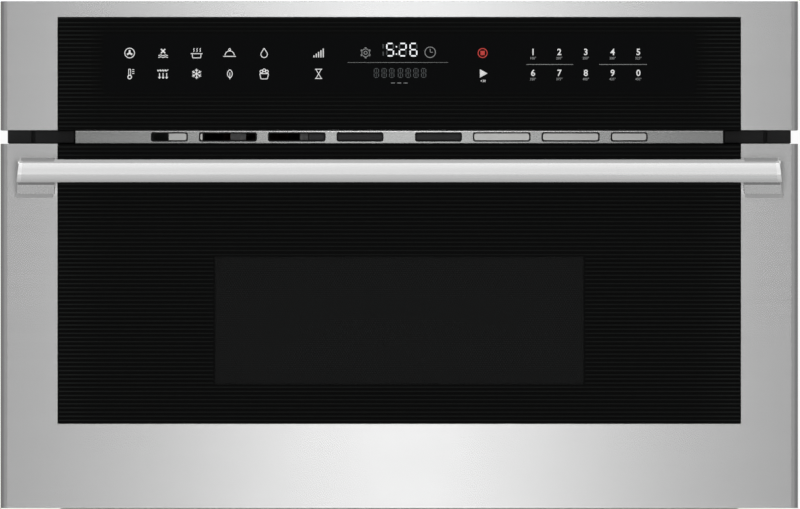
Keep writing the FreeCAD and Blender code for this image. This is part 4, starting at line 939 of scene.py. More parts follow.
    def as_object(self, name: str, finish: Finish) -> Piece:
        """Ends the shape as an object in metres.

        Args:
            name: The object's name.
            finish: Its surface.

        Returns:
            The object.
        """
        bmesh.ops.scale(self.mesh, vec=(MM,) * 3, verts=self.mesh.verts)
        data = bpy.data.meshes.new(name)
        self.mesh.to_mesh(data)
        self.mesh.free()
        data.materials.append(finish.material())
        made = bpy.data.objects.new(name, data)
        bpy.context.scene.collection.objects.link(made)
        return made

    def piece(
        self,
        name: str,
        body: str,
        finish: Finish,
        slot: str,
        replaces: Sequence[str] = (),
        sheet: float = 0.0,
        flat: bool = False,
        crisp: float = 40.0,
    ) -> Piece:
        """Ends the shape as a piece of the oven.

        Args:
            name: The piece's name.
            body: The CAD body that it rides on, or nothing where it is left unattached.
            finish: Its surface.
            slot: The record's material slot; not used.
            replaces: The CAD nodes that it stands for.
            sheet: The thickness of a sheet that is still one surface.
            flat: True for a flat print, whose faces all look to the front.
            crisp: Edges sharper than this many degrees stay crisp.

        Returns:
            The object.
        """
        if not flat:
            bmesh.ops.recalc_face_normals(self.mesh, faces=self.mesh.faces)
        for face in self.mesh.faces:
            face.smooth = True
            if flat and face.normal.y > 0:
                face.normal_flip()
        for edge in self.sharp(crisp):
            edge.smooth = False
        made = self.as_object(name, finish)
        if sheet:
            wall = made.modifiers.new("sheet", "SOLIDIFY")
            wall.thickness = sheet * MM
            wall.offset = -1.0
            wall.use_even_offset = not flat
        if not flat:
            made.modifiers.new("normals", "WEIGHTED_NORMAL").keep_sharp = True
        if body:
            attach(made, body)
        if replaces:
            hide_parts(*replaces)
        LOG.info("%s: %d faces", name, len(made.data.polygons))
        return made


@dataclass(frozen=True)
class Screw:
    """A pan-head screw with a round socket."""

    radius: float
    height: float
    taper: float = 0.8
    wall: float = 0.36
    socket: float = 0.55
    sides: int = 16

    def drive(self, made: Shape, seat: Place, way: Place) -> None:
        """Adds the head to a shape.

        Args:
            made: The shape.
            seat: The middle of the head's underside.
            way: The direction that the head faces.
        """
        end = Vector(seat) + Vector(way) * self.height
        verts = made.rod(seat, tuple(end), self.radius, self.sides, self.radius * self.taper)
        caps = {face for vert in verts for face in vert.link_faces if len(face.verts) == self.sides}
        top = min(caps, key=lambda face: (face.calc_center_median() - end).length)
        bmesh.ops.inset_region(made.mesh, faces=[top], thickness=self.radius * self.wall, use_even_offset=True)
        bmesh.ops.translate(made.mesh, vec=Vector(way) * (-self.socket * self.height), verts=list(top.verts))


def dress(finish: Finish, *nodes: str) -> None:
    """Gives CAD nodes a finish.

    Args:
        finish: The surface.
        nodes: The names of the nodes.
    """
    material = finish.material()
    for name in nodes:
        node = bpy.data.objects[name]
        if not node.material_slots:
            node.data.materials.append(material)
        for slot in node.material_slots:
            slot.material = material
        LOG.info("%s: %s", name, finish.name)


FRONT_STEEL = Brushed("brushed_steel", grey(0.84), 0.26, contrast=0.025, smudge=0.03)
HANDLE_METAL = Brushed("brushed_handle", grey(0.86), 0.27, contrast=0.03, smudge=0.03)
BRACKET_METAL = Brushed("brushed_brackets", grey(0.86), 0.27, Grain.ALONG_Z, 0.03, smudge=0.03)
# A lighter copy of the handle steel that paints a highlight on the bar's ends.
END_HIGHLIGHT_METAL = Brushed("bright_ends_highlight", grey(0.97), 0.22, contrast=0.03)
# Darker copies of the steel that paint the shadow under the bar, and the shade under the feet and on the bar's ends.
SEAT_SHADOW_METAL = Brushed("painted_seat_shadow", grey(0.28), 0.4)
PAD_SHADE_METAL = Brushed("painted_pad_shade", grey(0.47), 0.4, contrast=0.06)
# A lighter tint that paints a highlight along the vent's upper lip.
LIP_HIGHLIGHT_METAL = Brushed("vent_lip_highlight", grey(0.70), 0.22, contrast=0.05)
SHADE_METAL = Brushed("dark_shade", (0.046, 0.046, 0.047), 0.36, contrast=0.08)
# The vent's plates carry painted shade that deepens behind the front.
PLATE_METAL = Recessed("vent_plates", (0.62, 0.62, 0.61), grey(0.13), -27.0, -19.0)
# A darker copy of the steel that paints the shade of the vent's recess.
VENT_SHADED_METAL = Brushed("satin_vent_shaded", (0.41, 0.415, 0.41), 0.24, contrast=0.05)
CAVITY_STEEL = Brushed("rolled_steel", (0.68, 0.68, 0.67), 0.34, Grain.ALONG_Y, 0.07)
CHOKE_STEEL = Brushed("choke_steel", grey(0.62), 0.36, contrast=0.07)
CHASSIS_ZINC = Galvanised("chassis_zinc", (0.66, 0.67, 0.68), 0.40)
GUIDE_ZINC = Galvanised("guide_zinc", (0.62, 0.62, 0.60), 0.38, 120.0)
BLACK_ENAMEL = Moulded("black_enamel", (0.018, 0.018, 0.019), 0.34, 1400.0, 0.015, gloss=0.45)
SATIN_BLACK = Moulded("satin_black", (0.024, 0.024, 0.025), 0.5, 1400.0, 0.02, 0.08)
BLACK_PLASTIC = Moulded("grained_black", (0.020, 0.020, 0.021), 0.45)
DARK_RUBBER = Moulded("dark_rubber", grey(0.03), 0.7, 500.0, gloss=0.25)
WHITE_PLASTIC = Moulded("white_plastic", (0.72, 0.71, 0.67), 0.42)
MICA = Moulded("mica_sheet", (0.60, 0.53, 0.43), 0.5, 300.0, 0.05, 0.25)
RED_WIRE = Moulded("winding_wire", (0.36, 0.10, 0.035), 0.3, 1200.0, 0.05, gloss=0.6)
MACHINED = Cast("machined_steel", grey(0.60), 0.30, 400.0)
HEATER_SHEATH = Cast("heater_sheath", (0.22, 0.20, 0.185), 0.48, 300.0, 0.25)
PLATED = Cast("zinc_plated", (0.66, 0.66, 0.62), 0.30, 500.0)
CAN = Cast("capacitor_can", grey(0.62), 0.36, 160.0)
SPRING_WIRE = Cast("spring_wire", (0.34, 0.34, 0.35), 0.33, 700.0)
CABLE_WIRE = Cast("cable_wire", grey(0.42), 0.40, 1500.0)
CORE_IRON = Laminated("core_iron", (0.28, 0.27, 0.26), 0.6)
TRAY_GLASS = ClearGlass("tray_glass", (0.93, 0.97, 0.96), 0.03)
INNER_GLASS = ClearGlass("smoked_glass", (0.34, 0.35, 0.35), 0.04)
BOARD = Circuit("varnished_board", (0.012, 0.075, 0.035), (0.05, 0.16, 0.06))
# The inks and the unlit bars glow as painted light; only the lit segments glow for real.
INK = Lit("panel_ink", grey(0.80), 0.45)
FAINT_INK = Lit("faint_ink", (0.42, 0.43, 0.43), 0.06)
RED_INK = Lit("red_ink", (0.62, 0.055, 0.045), 0.35)
SEGMENT_ON = Lit("segment_on", (0.95, 0.97, 1.0), 0.62)
SEGMENT_OFF = Lit("segment_off", (0.110, 0.120, 0.124), 0.02)


@dataclass
class SteelFrame:
    """A surround of folded steel sheet that stands open on one side."""

    node: str
    band: float
    opens_up: bool
    opening_half: float = 325.0
    bend: float = 6.6
    fold: float = 0.5
    fold_angle: float = 0.5
    sheet: float = 1.0
    notch: Optional[Point] = None
    notch_front: float = -34.0

    def __post_init__(self) -> None:
        """Takes the reach of the sheet from the node that it stands for."""
        box = Box.of(self.node)
        self.half_width, self.front, self.back = box.high.x, box.low.y, box.high.y
        if self.opens_up:
            self.shut_end, self.open_end, self.sill = box.low.z, box.high.z, box.low.z + self.band
        else:
            self.shut_end, self.open_end, self.sill = box.high.z, box.low.z, box.high.z - self.band

    def build(self, name: str, body: str) -> Piece:
        """Makes the surround."""
        return self._folded().piece(name, body, FRONT_STEEL, "front_steel", [self.node], sheet=self.sheet)

    def _outline(self) -> list[Point]:
        """The corners of the front, with a corner at each side of a notch in the shut end.

        Returns:
            The corners, across and up.
        """
        outer, inner = self.half_width, self.opening_half
        steps = sorted(side * x for x in self.notch or () for side in (-1, 1))
        right = [(outer, self.open_end), (inner, self.open_end), (inner, self.sill)]
        left = [(-x, z) for x, z in reversed(right)]
        return [*((x, self.shut_end) for x in (-outer, *steps, outer)), *right, *left]

    def _folded(self) -> Shape:
        """Folds the sheet: a front with a wall behind each side, bent at the outer corners.

        Returns:
            The sheet, as one surface.
        """
        made = Shape()
        made.face(Plane.FRONT, self._outline(), self.front)
        walls = bmesh.ops.extrude_edge_only(made.mesh, edges=list(made.mesh.edges))["geom"]
        bmesh.ops.translate(made.mesh, vec=(0, self.back - self.front, 0), verts=verts_of(walls))
        if self.notch:
            self._cut_notches(made, *self.notch)
        made.bevel([e for e in made.edges_at(1, self.front) if self._is_bend(e)], self.bend, 8)
        folds = [e for e in made.edges_at(1, self.front) if e.calc_face_angle(0.0) > self.fold_angle]
        made.bevel(folds, self.fold, 3)
        return made

    def _cut_notches(self, made: Shape, low: float, high: float) -> None:
        """Takes the rear of the shut end's wall out of each notch.

        Args:
            made: The folded sheet.
            low: The side of a notch that is nearer to the middle.
            high: Its other side.
        """
        spots = [(face, face.calc_center_median()) for face in made.mesh.faces]
        for face in [f for f, spot in spots if abs(spot.z - self.shut_end) < NEAR and low < abs(spot.x) < high]:
            geom = [face, *face.edges, *face.verts]
            cut = bmesh.ops.bisect_plane(made.mesh, geom=geom, plane_co=(0, self.notch_front, 0), plane_no=(0, 1, 0))
            faces = [item for item in cut["geom"] if isinstance(item, BMFace)]
            rear = [item for item in faces if item.calc_center_median().y > self.notch_front]
            bmesh.ops.delete(made.mesh, geom=rear, context="FACES")

    def _is_bend(self, edge: BMEdge) -> bool:
        """True for the two outer upright edges."""
        first, last = (v.co.x for v in edge.verts)
        return abs(first - last) < NEAR and abs(abs(first) - self.half_width) < NEAR


@dataclass
class DoorFront:
    """The door's outside: its steel surround and its pinstriped glass with the window."""

    band: float = 80.1
    notch: Point = (306.0, 334.0)
    window: Zone = Zone(-176.6, 176.6, -83.6, 40.4, 2.0)
    window_tone: Colour = (0.0122, 0.0128, 0.0126)
    see_through: float = 0.35
    window_border: float = 1.6

    def build(self) -> list[Piece]:
        """Makes the surround and dresses the glass.

        Returns:
            The metal pieces.
        """
        surround = SteelFrame("door_skin", self.band, True, notch=self.notch).build("door_surround", "door")
        pattern = (self.window, self.window_tone, self.see_through, self.window_border)
        dress(PrintedGlass("door_glass_print", *pattern), "door_glass")
        return [surround]


@dataclass
class DoorInside:
    """The side of the door that faces the oven."""

    hole_pitch: float = 2.3
    hole_radius: float = 0.75
    screen_tint: Colour = (0.022, 0.022, 0.023)
    screen_edge: float = 8.0
    screen_soft: float = 0.2
    head: Screw = Screw(3.6, 1.8)
    heads: tuple[Point, ...] = ((352.0, -150.0), (352.0, -40.0), (352.0, 70.0), (240.0, 137.0), (90.0, 137.0))

    def build(self) -> None:
        """Dresses the carrier, choke, screen and inner window, and adds the screws round the choke's rim."""
        screen, rim = Box.of("window_screen"), Box.of("choke_frame").high.y
        field = Zone(screen.low.x, screen.high.x, screen.low.z, screen.high.z, 0.0)
        field = field.inset(self.screen_edge, self.screen_soft)
        dress(Perforated("screen_holes", self.screen_tint, self.hole_pitch, self.hole_radius, field), "window_screen")
        dress(BLACK_PLASTIC, "glass_carrier", "choke_cover", "latch_tongues")
        dress(CHOKE_STEEL, "choke_frame")
        dress(INNER_GLASS, "inner_window")
        made = Shape()
        for x, z in self.heads:
            self.head.drive(made, (x, rim, z), (0, 1, 0))
        made.mirror()
        made.piece("door_screws", "door", PLATED, "zinc_screw")


@dataclass
class BarHandle:
    """The bar handle: an extruded bar, its end plates and the brackets that carry it.

    A fall is a reach and a power: how far the bar's front lies back, and how late it does so.
    """

    bar_inset: float = 0.25
    bar_edge: float = 0.7
    top_back: float = 4.6
    heel: float = 2.0
    crease_drop: float = 3.4
    fullest: float = 0.4
    upper_fall: Point = (1.6, 1.5)
    lower_fall: Point = (4.4, 2.6)
    front_steps: int = 12
    end_plate: float = 4.3
    end_edge: float = 1.2
    end_lean: float = 2.2
    bracket_lean: float = 3.0
    bracket_width: float = 36.0
    bracket_rake: float = 8.0
    bracket_edge: float = 0.9
    seat_gap: float = 2.0
    seat_depth: float = 8.0
    seat_margin: float = 0.6
    seat_sink: float = 0.4
    seat_edge: float = 0.5
    saddle_back: Point = (4.0, -1.5)
    saddle: tuple[Point, ...] = ((5.0, 1.0), (2.5, -2.0), (4.0, -2.6))
    pad: float = 3.2
    pad_depth: float = 2.5
    pad_sink: float = 0.3

    def build(self) -> list[Piece]:
        """Makes the bar, its brackets, and the darker seats, saddles and pads at their ends, which paint shadow and
        shade.

        Returns:
            The pieces.
        """
        self.bar, self.posts = Box.of("handle_bar"), Box.of("handle_posts")
        return [self._grip(), self._ends(), self._brackets(), *self._seats()]

    def _section(self, grow: float) -> list[Point]:
        """Draws the bar from the side: flat back and top, a crease and a full front.

        Args:
            grow: How far the outline stands off the bar's box.

        Returns:
            The outline, depth and up.
        """
        low, high = self.bar.low, self.bar.high
        front, back, top, foot = low.y - grow, high.y, high.z + grow, low.z - grow
        crease = top - self.crease_drop
        shares = [step / self.front_steps for step in range(self.front_steps + 1)]
        full = [(front + self._fall(share), crease + (foot - crease) * share) for share in shares]
        return [(back, foot + self.heel), (back, top), (front + self.top_back, top), *full, (back - self.heel, foot)]

    def _fall(self, share: float) -> float:
        """Works out how far the front lies behind its fullest line.

        Args:
            share: The share of the way down from the crease.

        Returns:
            The depth.
        """
        if share < self.fullest:
            (reach, power), away = self.upper_fall, 1 - share / self.fullest
        else:
            (reach, power), away = self.lower_fall, (share - self.fullest) / (1 - self.fullest)
        return reach * away**power

    def _grip(self) -> Piece:
        """Makes the bar, rounded along its front.

        Returns:
            The piece.
        """
        end = self.bar.high.x - self.end_plate
        made = Shape()
        made.slab(Plane.SIDE, self._section(-self.bar_inset), -end, end)
        along = [e for e in made.sharp(35) if abs(e.verts[0].co.x - e.verts[1].co.x) > end]
        made.bevel(along, self.bar_edge, 2)
        return made.piece("handle_grip", "door", HANDLE_METAL, "handle_metal", ["handle_bar"], crisp=60)

    def _ends(self) -> Piece:
        """Makes the plate on each end of the bar, leaning inwards at the top, brighter than the bar as a painted
        highlight.

        Returns:
            The piece.
        """
        low, high = self.bar.low, self.bar.high
        made = Shape()
        made.slab(Plane.SIDE, self._section(0.0), high.x - self.end_plate, high.x)
        made.bevel(made.edges_at(0, high.x), self.end_edge, 4)
        for vert in made.mesh.verts:
            vert.co.x -= self.end_lean * (vert.co.z - low.z) / (high.z - low.z)
        made.mirror()
        return made.piece("handle_ends", "door", END_HIGHLIGHT_METAL, "handle_metal", crisp=60)

    def _brackets(self) -> Piece:
        """Makes the two brackets, which lean inwards from the door to the bar.

        Returns:
            The piece.
        """
        low, high = self.posts.low, self.posts.high
        grip, door, foot = low.y, high.y, low.z + self.pad
        rear = [(door, foot), (door, high.z), (grip, high.z)]
        front = [(grip, self.bar.low.z - self.seat_gap), (grip + self.bracket_rake, foot)]
        made = Shape()
        for vert in made.slab(Plane.SIDE, rear + front, high.x - self.bracket_width, high.x):
            vert.co.x -= self.bracket_lean * (door - vert.co.y) / (door - grip)
        made.bevel(made.sharp(20), self.bracket_edge, 3)
        made.mirror()
        return made.piece("handle_brackets", "door", BRACKET_METAL, "handle_metal", ["handle_posts"])

    def _seats(self) -> list[Piece]:
        """Makes a thin dark seat under each end of the bar as a painted shadow line, a darker saddle over it as painted
        shade on the bar's top, and a darker pad under each bracket's foot as a painted shadow.

        Returns:
            The two pieces.
        """
        bar, low, high = self.bar, self.posts.low, self.posts.high
        outer = high.x - self.bracket_lean - self.seat_margin
        inner = outer - self.bracket_width + 2 * self.seat_margin
        seat, saddle, pad = Shape(), Shape(), Shape()
        seat.block(
            (inner, low.y - self.seat_margin, bar.low.z - self.seat_gap),
            (outer, low.y + self.seat_depth, bar.low.z + self.seat_sink),
        )
        back, top = low.y + self.saddle_back[0], bar.high.z
        rear = [(back, top + self.saddle_back[1]), (back, top + self.saddle[0][1])]
        front = [(bar.low.y + behind, top + above) for behind, above in self.saddle]
        saddle.slab(Plane.SIDE, rear + front, inner, bar.high.x - self.end_plate)
        pad.join(saddle)
        pad_low = (high.x - self.bracket_width, high.y - self.pad_depth, low.z)
        pad.block(pad_low, (high.x, high.y, low.z + self.pad + self.pad_sink))
        pieces = []
        # The seats paint the shadow under the bar; the pads and saddles paint shade under the feet and on the bar's
        # top.
        for made, name, finish in ((seat, "handle_seat_shadows", SEAT_SHADOW_METAL), (pad, "handle_pad_shades", PAD_SHADE_METAL)):
            made.bevel(made.sharp(), self.seat_edge, 2)
            made.mirror()
            pieces.append(made.piece(name, "door", finish, "handle_metal"))
        return pieces


class Segment(Enum):
    """The bars of a seven-bar numeral, each from one end to the other in half widths and quarter heights."""

    TOP = ((-1, 2), (1, 2))
    UPPER_LEFT = ((-1, 0), (-1, 2))
    UPPER_RIGHT = ((1, 0), (1, 2))
    MIDDLE = ((-1, 0), (1, 0))
    LOWER_LEFT = ((-1, -2), (-1, 0))
    LOWER_RIGHT = ((1, -2), (1, 0))
    BOTTOM = ((-1, -2), (1, -2))


NUMERAL_BARS = {
    "2": {Segment.TOP, Segment.UPPER_RIGHT, Segment.MIDDLE, Segment.LOWER_LEFT, Segment.BOTTOM},
    "5": {Segment.TOP, Segment.UPPER_LEFT, Segment.MIDDLE, Segment.LOWER_RIGHT, Segment.BOTTOM},
    "6": set(Segment) - {Segment.UPPER_RIGHT},
    "": set(),
}


@dataclass(frozen=True)
class Line:
    """A run of straight strokes through points about a centre, repeated round it from some degrees on."""

    points: tuple[Point, ...]
    width: float = 0.8
    count: int = 1
    start: float = 0.0
    centre: Point = (0.0, 0.0)

    def draw(self, made: Shape, middle: Vector, depth: float) -> None:
        """Adds the strokes.

        Args:
            made: The shape to add to.
            middle: The middle of the mark.
            depth: Where it lies on Y.
        """
        for turn in range(self.count):
            way = math.radians(self.start + turn * 360 / self.count)
            along, across = Vector((math.cos(way), math.sin(way))), Vector((-math.sin(way), math.cos(way)))
            spots = [middle + Vector(self.centre) + along * a + across * b for a, b in self.points]
            for first, last in zip(spots, spots[1:]):
                made.stroke(first, last, self.width, depth)


@dataclass(frozen=True)
class Ring:
    """A ring or part of one, which starts at some degrees and runs for a share of the turn."""

    radius: float
    centre: Point = (0.0, 0.0)
    width: float = 0.8
    start: float = 0.0
    share: float = 1.0

    def draw(self, made: Shape, middle: Vector, depth: float) -> None:
        """Adds the ring about the middle of a mark."""
        made.arc(middle + Vector(self.centre), self.radius, self.width, depth, self.start, self.share)


def line(*points: Point) -> Line:
    """A line of the usual width."""
    return Line(points)


def thin(*points: Point) -> Line:
    """A line that is a little thinner."""
    return Line(points, 0.7)


class Mark(Enum):
    """The pictures on the panel, as the lines and rings that draw them, in millimetres about their middle."""

    FAN = (Ring(4.6), Line(((0, 0), (2.9, 0)), 1.7, 3, 90))
    FAN_WAVES = (
        Line(((0, 0), (2.9, 0)), 1.3, 4, 45, (0, 1.8)),
        *(line((-4.5, z), (-2.2, z + 0.9), (0, z), (2.2, z + 0.9), (4.5, z)) for z in (-2.6, -4.4)),
    )
    POT = (
        *(thin((x, 1.0), (x + 0.8, 2.2), (x, 3.4), (x + 0.8, 4.6)) for x in (-3.0, 0.0, 3.0)),
        line((-5.6, -0.6), (5.6, -0.6)),
        line((-4.2, -0.6), (-3.8, -4.6), (3.8, -4.6), (4.2, -0.6)),
    )
    PLATE = (Ring(4.4, (0, -2.4), share=0.5), line((-6, -3.2), (6, -3.2)), Ring(0.9, (0, 3.2)))
    DROP = (Ring(3.1, (0, -1.2), start=150, share=0.667), line((-2.7, 0.3), (0, 4.6), (2.7, 0.3)))
    STEPS = tuple(Line(((2.2 * i - 4.4, -4.2), (2.2 * i - 4.4, 1.6 * i - 2.2)), 1.1) for i in range(5))
    HEAT = (
        Ring(1.7, (0, -3.0), 1.0),
        thin((-0.9, -1.6), (-0.9, 4.4), (0.9, 4.4), (0.9, -1.6)),
        *(thin((2.4, z), (4.4, z)) for z in (0.4, 2.2, 4.0)),
    )
    GRILL = (
        line(*(spot for x in (-5, -2.5, 0, 2.5) for spot in ((x, 4), (x, 2.4))), (5, 4)),
        *(line((x, 0.8), (x, -4.2)) for x in (-3.4, 0.0, 3.4)),
        *(thin((x - 1.1, -2.9), (x, -4.4), (x + 1.1, -2.9)) for x in (-3.4, 0.0, 3.4)),
    )
    FLAKE = (
        Line(((0, 0), (4.9, 0)), 0.8, 6, 30),
        *(Line(((2.6, 0), (3.9, side)), 0.7, 6, 30) for side in (-1.4, 1.4)),
    )
    LEAF = (
        Ring(4.6, (-2.1, 0), start=-60, share=1 / 3),
        Ring(4.6, (2.5, 0), start=120, share=1 / 3),
        thin((0.2, 1.4), (0.2, -5.2)),
    )
    KERNELS = (
        *(Ring(1.3, spot) for spot in ((-2.6, 2.2), (0, 3.4), (2.6, 2.2))),
        line((-4.2, 0.2), (-3.0, -4.8), (3.0, -4.8), (4.2, 0.2), (-4.2, 0.2)),
    )
    SAND_GLASS = (
        *(line((-3.4, z), (3.4, z)) for z in (4.4, -4.4)),
        *(thin((-x, 4.4), (x, -4.4)) for x in (2.6, -2.6)),
    )
    CLOCK = (Ring(5.0, width=0.75), thin((0, -0.3), (0, 3.4)), thin((-0.3, 0), (2.6, 0)))
    GEAR = (Ring(1.5, width=0.7), Ring(3.7, width=0.75), Line(((3.6, 0), (5.2, 0)), 1.7, 6, 30))
    STOP = (Ring(4.3, width=0.9), Line(((-2.1, 0), (2.1, 0)), 4.2))

    def draw(self, made: Shape, middle: Point, depth: float) -> None:
        """Adds the picture to a shape."""
        for part in self.value:
            part.draw(made, Vector(middle), depth)


@dataclass
class ControlPanel:
    """The steel surround, the touch glass, and what is printed and lit on it."""

    band: float = 14.9
    stand_off: float = 0.06
    stripe_free: Zone = Zone(-285.0, 285.0, 192.0, 254.0, 22.0)
    glass_tone: Colour = (0.0012, 0.0015, 0.0018)
    glass_border: float = 4.0
    upper_row: float = 232.8
    lower_row: float = 213.0
    upper_marks: tuple[Mark, ...] = (Mark.FAN, Mark.FAN_WAVES, Mark.POT, Mark.PLATE, Mark.DROP, Mark.STEPS)
    lower_marks: tuple[Mark, ...] = (Mark.HEAT, Mark.GRILL, Mark.FLAKE, Mark.LEAF, Mark.KERNELS, Mark.SAND_GLASS)
    mark_columns: tuple[float, ...] = (-256.4, -224.6, -192.7, -161.3, -128.5, -76.7)
    start_mark: tuple[Point, ...] = ((76.7, 209.4), (83.9, 213.4), (76.7, 217.4))
    start_text: str = "+30"
    start_note: Point = (79.7, 206.2)
    stop_column: float = 79.3
    key_columns: tuple[float, ...] = (127.2, 152.2, 177.4, 202.9, 227.4)
    key_rows: tuple[tuple[float, str, str], ...] = (
        (233.5, "12345", "100 200 250 300 325"),
        (213.6, "67890", "350 375 400 425 450"),
    )
    key_type: Point = (6.0, 0.17)
    heat_type: Point = (2.3, 0.06)
    note_type: Point = (2.3, 0.03)
    type_size: float = 1.4
    type_steps: int = 3
    heat_drop: float = 5.7
    key_rules: tuple[Point, ...] = ((120.9, 165.3), (190.2, 235.6))
    key_rule_level: float = 221.9
    key_rule_width: float = 0.55
    clock: str = "526"
    clock_columns: tuple[float, ...] = (-8.7, 3.3, 13.5)
    clock_level: float = 236.0
    clock_half: Point = (3.1, 5.9)
    clock_bar: float = 1.3
    bar_gap: float = 0.6
    colon: Point = (-3.35, -2.05)
    colon_levels: Point = (238.8, 231.8)
    unlit_column: float = -15.3
    unlit_reach: Point = (-1.6, 2.4)
    unlit_bar: float = 1.4
    message_columns: tuple[float, ...] = (-21.8, -14.4, -7.1, 1.1, 8.5, 15.8, 23.2)
    message_level: float = 213.8
    message_half: Point = (2.1, 4.2)
    message_bar: float = 0.85
    tick_half: float = 1.3
    tick_bar: float = 0.6
    display_rule: tuple[Point, Point] = ((-49.1, 223.8), (46.5, 223.8))
    display_rule_width: float = 0.35
    clock_mark: Point = (29.4, 233.5)
    gear_mark: Point = (-32.0, 233.0)
    dash_columns: Place = (-6.0, 0.0, 6.0)
    dash_half: float = 1.9
    dash_bar: float = 0.7
    dash_level: float = 204.3

    def build(self) -> list[Piece]:
        """Makes the surround and the marks, and dresses the glass and what is behind it.

        Returns:
            The metal pieces.
        """
        surround = SteelFrame("control_trim", self.band, False).build("control_surround", "chassis")
        pattern = (self.stripe_free, self.glass_tone, 0.0, self.glass_border)
        dress(PrintedGlass("control_glass_print", *pattern), "control_glass")
        dress(BLACK_PLASTIC, "control_housing")
        dress(BOARD, "control_board")
        self.depth = Box.of("control_glass").low.y - self.stand_off
        self._keys()
        self._display()
        self._marks()
        return [surround]

    def _print(self, made: Shape, name: str, finish: Finish) -> None:
        """Finishes a flat print on the glass."""
        made.piece(name, "chassis", finish, "front_glass", sheet=self.stand_off, flat=True)

    def _figures(self, made: Shape, text: str, place: Point, kind: Point) -> None:
        """Adds plain figures, set in the middle of a place.

        Args:
            made: The shape to add to.
            text: The figures.
            place: Their middle, across and up.
            kind: The height of the type, and how much heavier than plain its strokes are.
        """
        curve = bpy.data.curves.new("figures", "FONT")
        curve.body = text
        curve.size, curve.offset = kind[0] * self.type_size, kind[1]
        curve.align_x = curve.align_y = "CENTER"
        curve.resolution_u = self.type_steps
        holder = bpy.data.objects.new("figures", curve)
        data = bpy.data.meshes.new_from_object(holder)
        turn = Matrix.Rotation(math.pi / 2, 4, "X")
        data.transform(Matrix.Translation((place[0], self.depth, place[1])) @ turn)
        made.mesh.from_mesh(data)
        bpy.data.objects.remove(holder)
        bpy.data.curves.remove(curve)
        bpy.data.meshes.remove(data)

    def _keys(self) -> None:
        """Makes the number pad, with a temperature under each key, and the rules between its rows."""
        keys, small = Shape(), Shape()
        for level, figures, heats in self.key_rows:
            for x, figure, heat in zip(self.key_columns, figures, heats.split()):
                self._figures(keys, figure, (x, level), self.key_type)
                self._figures(small, heat + "°", (x, level - self.heat_drop), self.heat_type)
        for left, right in self.key_rules:
            ends = (left, self.key_rule_level), (right, self.key_rule_level)
            small.stroke(*ends, self.key_rule_width, self.depth)
        self._print(keys, "key_figures", INK)
        self._print(small, "key_heats", FAINT_INK)

    def _bars(self, on: Shape, off: Shape, figure: str, middle: Point, half: Point, width: float) -> None:
        """Adds one seven-bar numeral.

        Args:
            on: The shape of the lit bars.
            off: The shape of the dark bars.
            figure: The numeral, or nothing where all bars are dark.
            middle: Its middle, across and up.
            half: Half of its width and of its height.
            width: The width of a bar.
        """
        for bar in Segment:
            first, last = (Vector((middle[0] + a * half[0], middle[1] + b * half[1] / 2)) for a, b in bar.value)
            gap = (last - first).normalized() * width * self.bar_gap
            target = on if bar in NUMERAL_BARS[figure] else off
            target.stroke(first + gap, last - gap, width, self.depth)

    def _display(self) -> None:
        """Makes the clock and its unlit bars, the unlit message row, and the rule, marks and dashes round them."""
        on, off, fine = Shape(), Shape(), Shape()
        for x, figure in zip(self.clock_columns, self.clock):
            self._bars(on, off, figure, (x, self.clock_level), self.clock_half, self.clock_bar)
        for level in self.colon_levels:
            on.stroke((self.colon[0], level), (self.colon[1], level), self.clock_bar, self.depth)
            foot, top = ((self.unlit_column, level + reach) for reach in self.unlit_reach)
            off.stroke(foot, top, self.unlit_bar, self.depth)
        for x in self.message_columns:
            self._bars(on, off, "", (x, self.message_level), self.message_half, self.message_bar)
            for side in (-1, 1):
                level = self.message_level + side * self.message_half[1] / 2
                ends = (x, level - self.tick_half), (x, level + self.tick_half)
                off.stroke(*ends, self.tick_bar, self.depth)
        fine.stroke(*self.display_rule, self.display_rule_width, self.depth)
        Mark.CLOCK.draw(fine, self.clock_mark, self.depth)
        Mark.GEAR.draw(fine, self.gear_mark, self.depth)
        for x in self.dash_columns:
            ends = (x - self.dash_half, self.dash_level), (x + self.dash_half, self.dash_level)
            fine.stroke(*ends, self.dash_bar, self.depth)
        self._print(on, "clock_bars", SEGMENT_ON)
        self._print(off, "unlit_bars", SEGMENT_OFF)
        self._print(fine, "display_lines", FAINT_INK)

    def _marks(self) -> None:
        """Makes simple pictures for the cooking programs, and the start and stop marks."""
        made, stop = Shape(), Shape()
        for level, marks in ((self.upper_row, self.upper_marks), (self.lower_row, self.lower_marks)):
            for x, mark in zip(self.mark_columns, marks):
                mark.draw(made, (x, level), self.depth)
        made.face(Plane.FRONT, self.start_mark, self.depth)
        self._figures(made, self.start_text, self.start_note, self.note_type)
        self._print(made, "program_marks", INK)
        Mark.STOP.draw(stop, (self.stop_column, self.upper_row), self.depth)
        self._print(stop, "stop_mark", RED_INK)


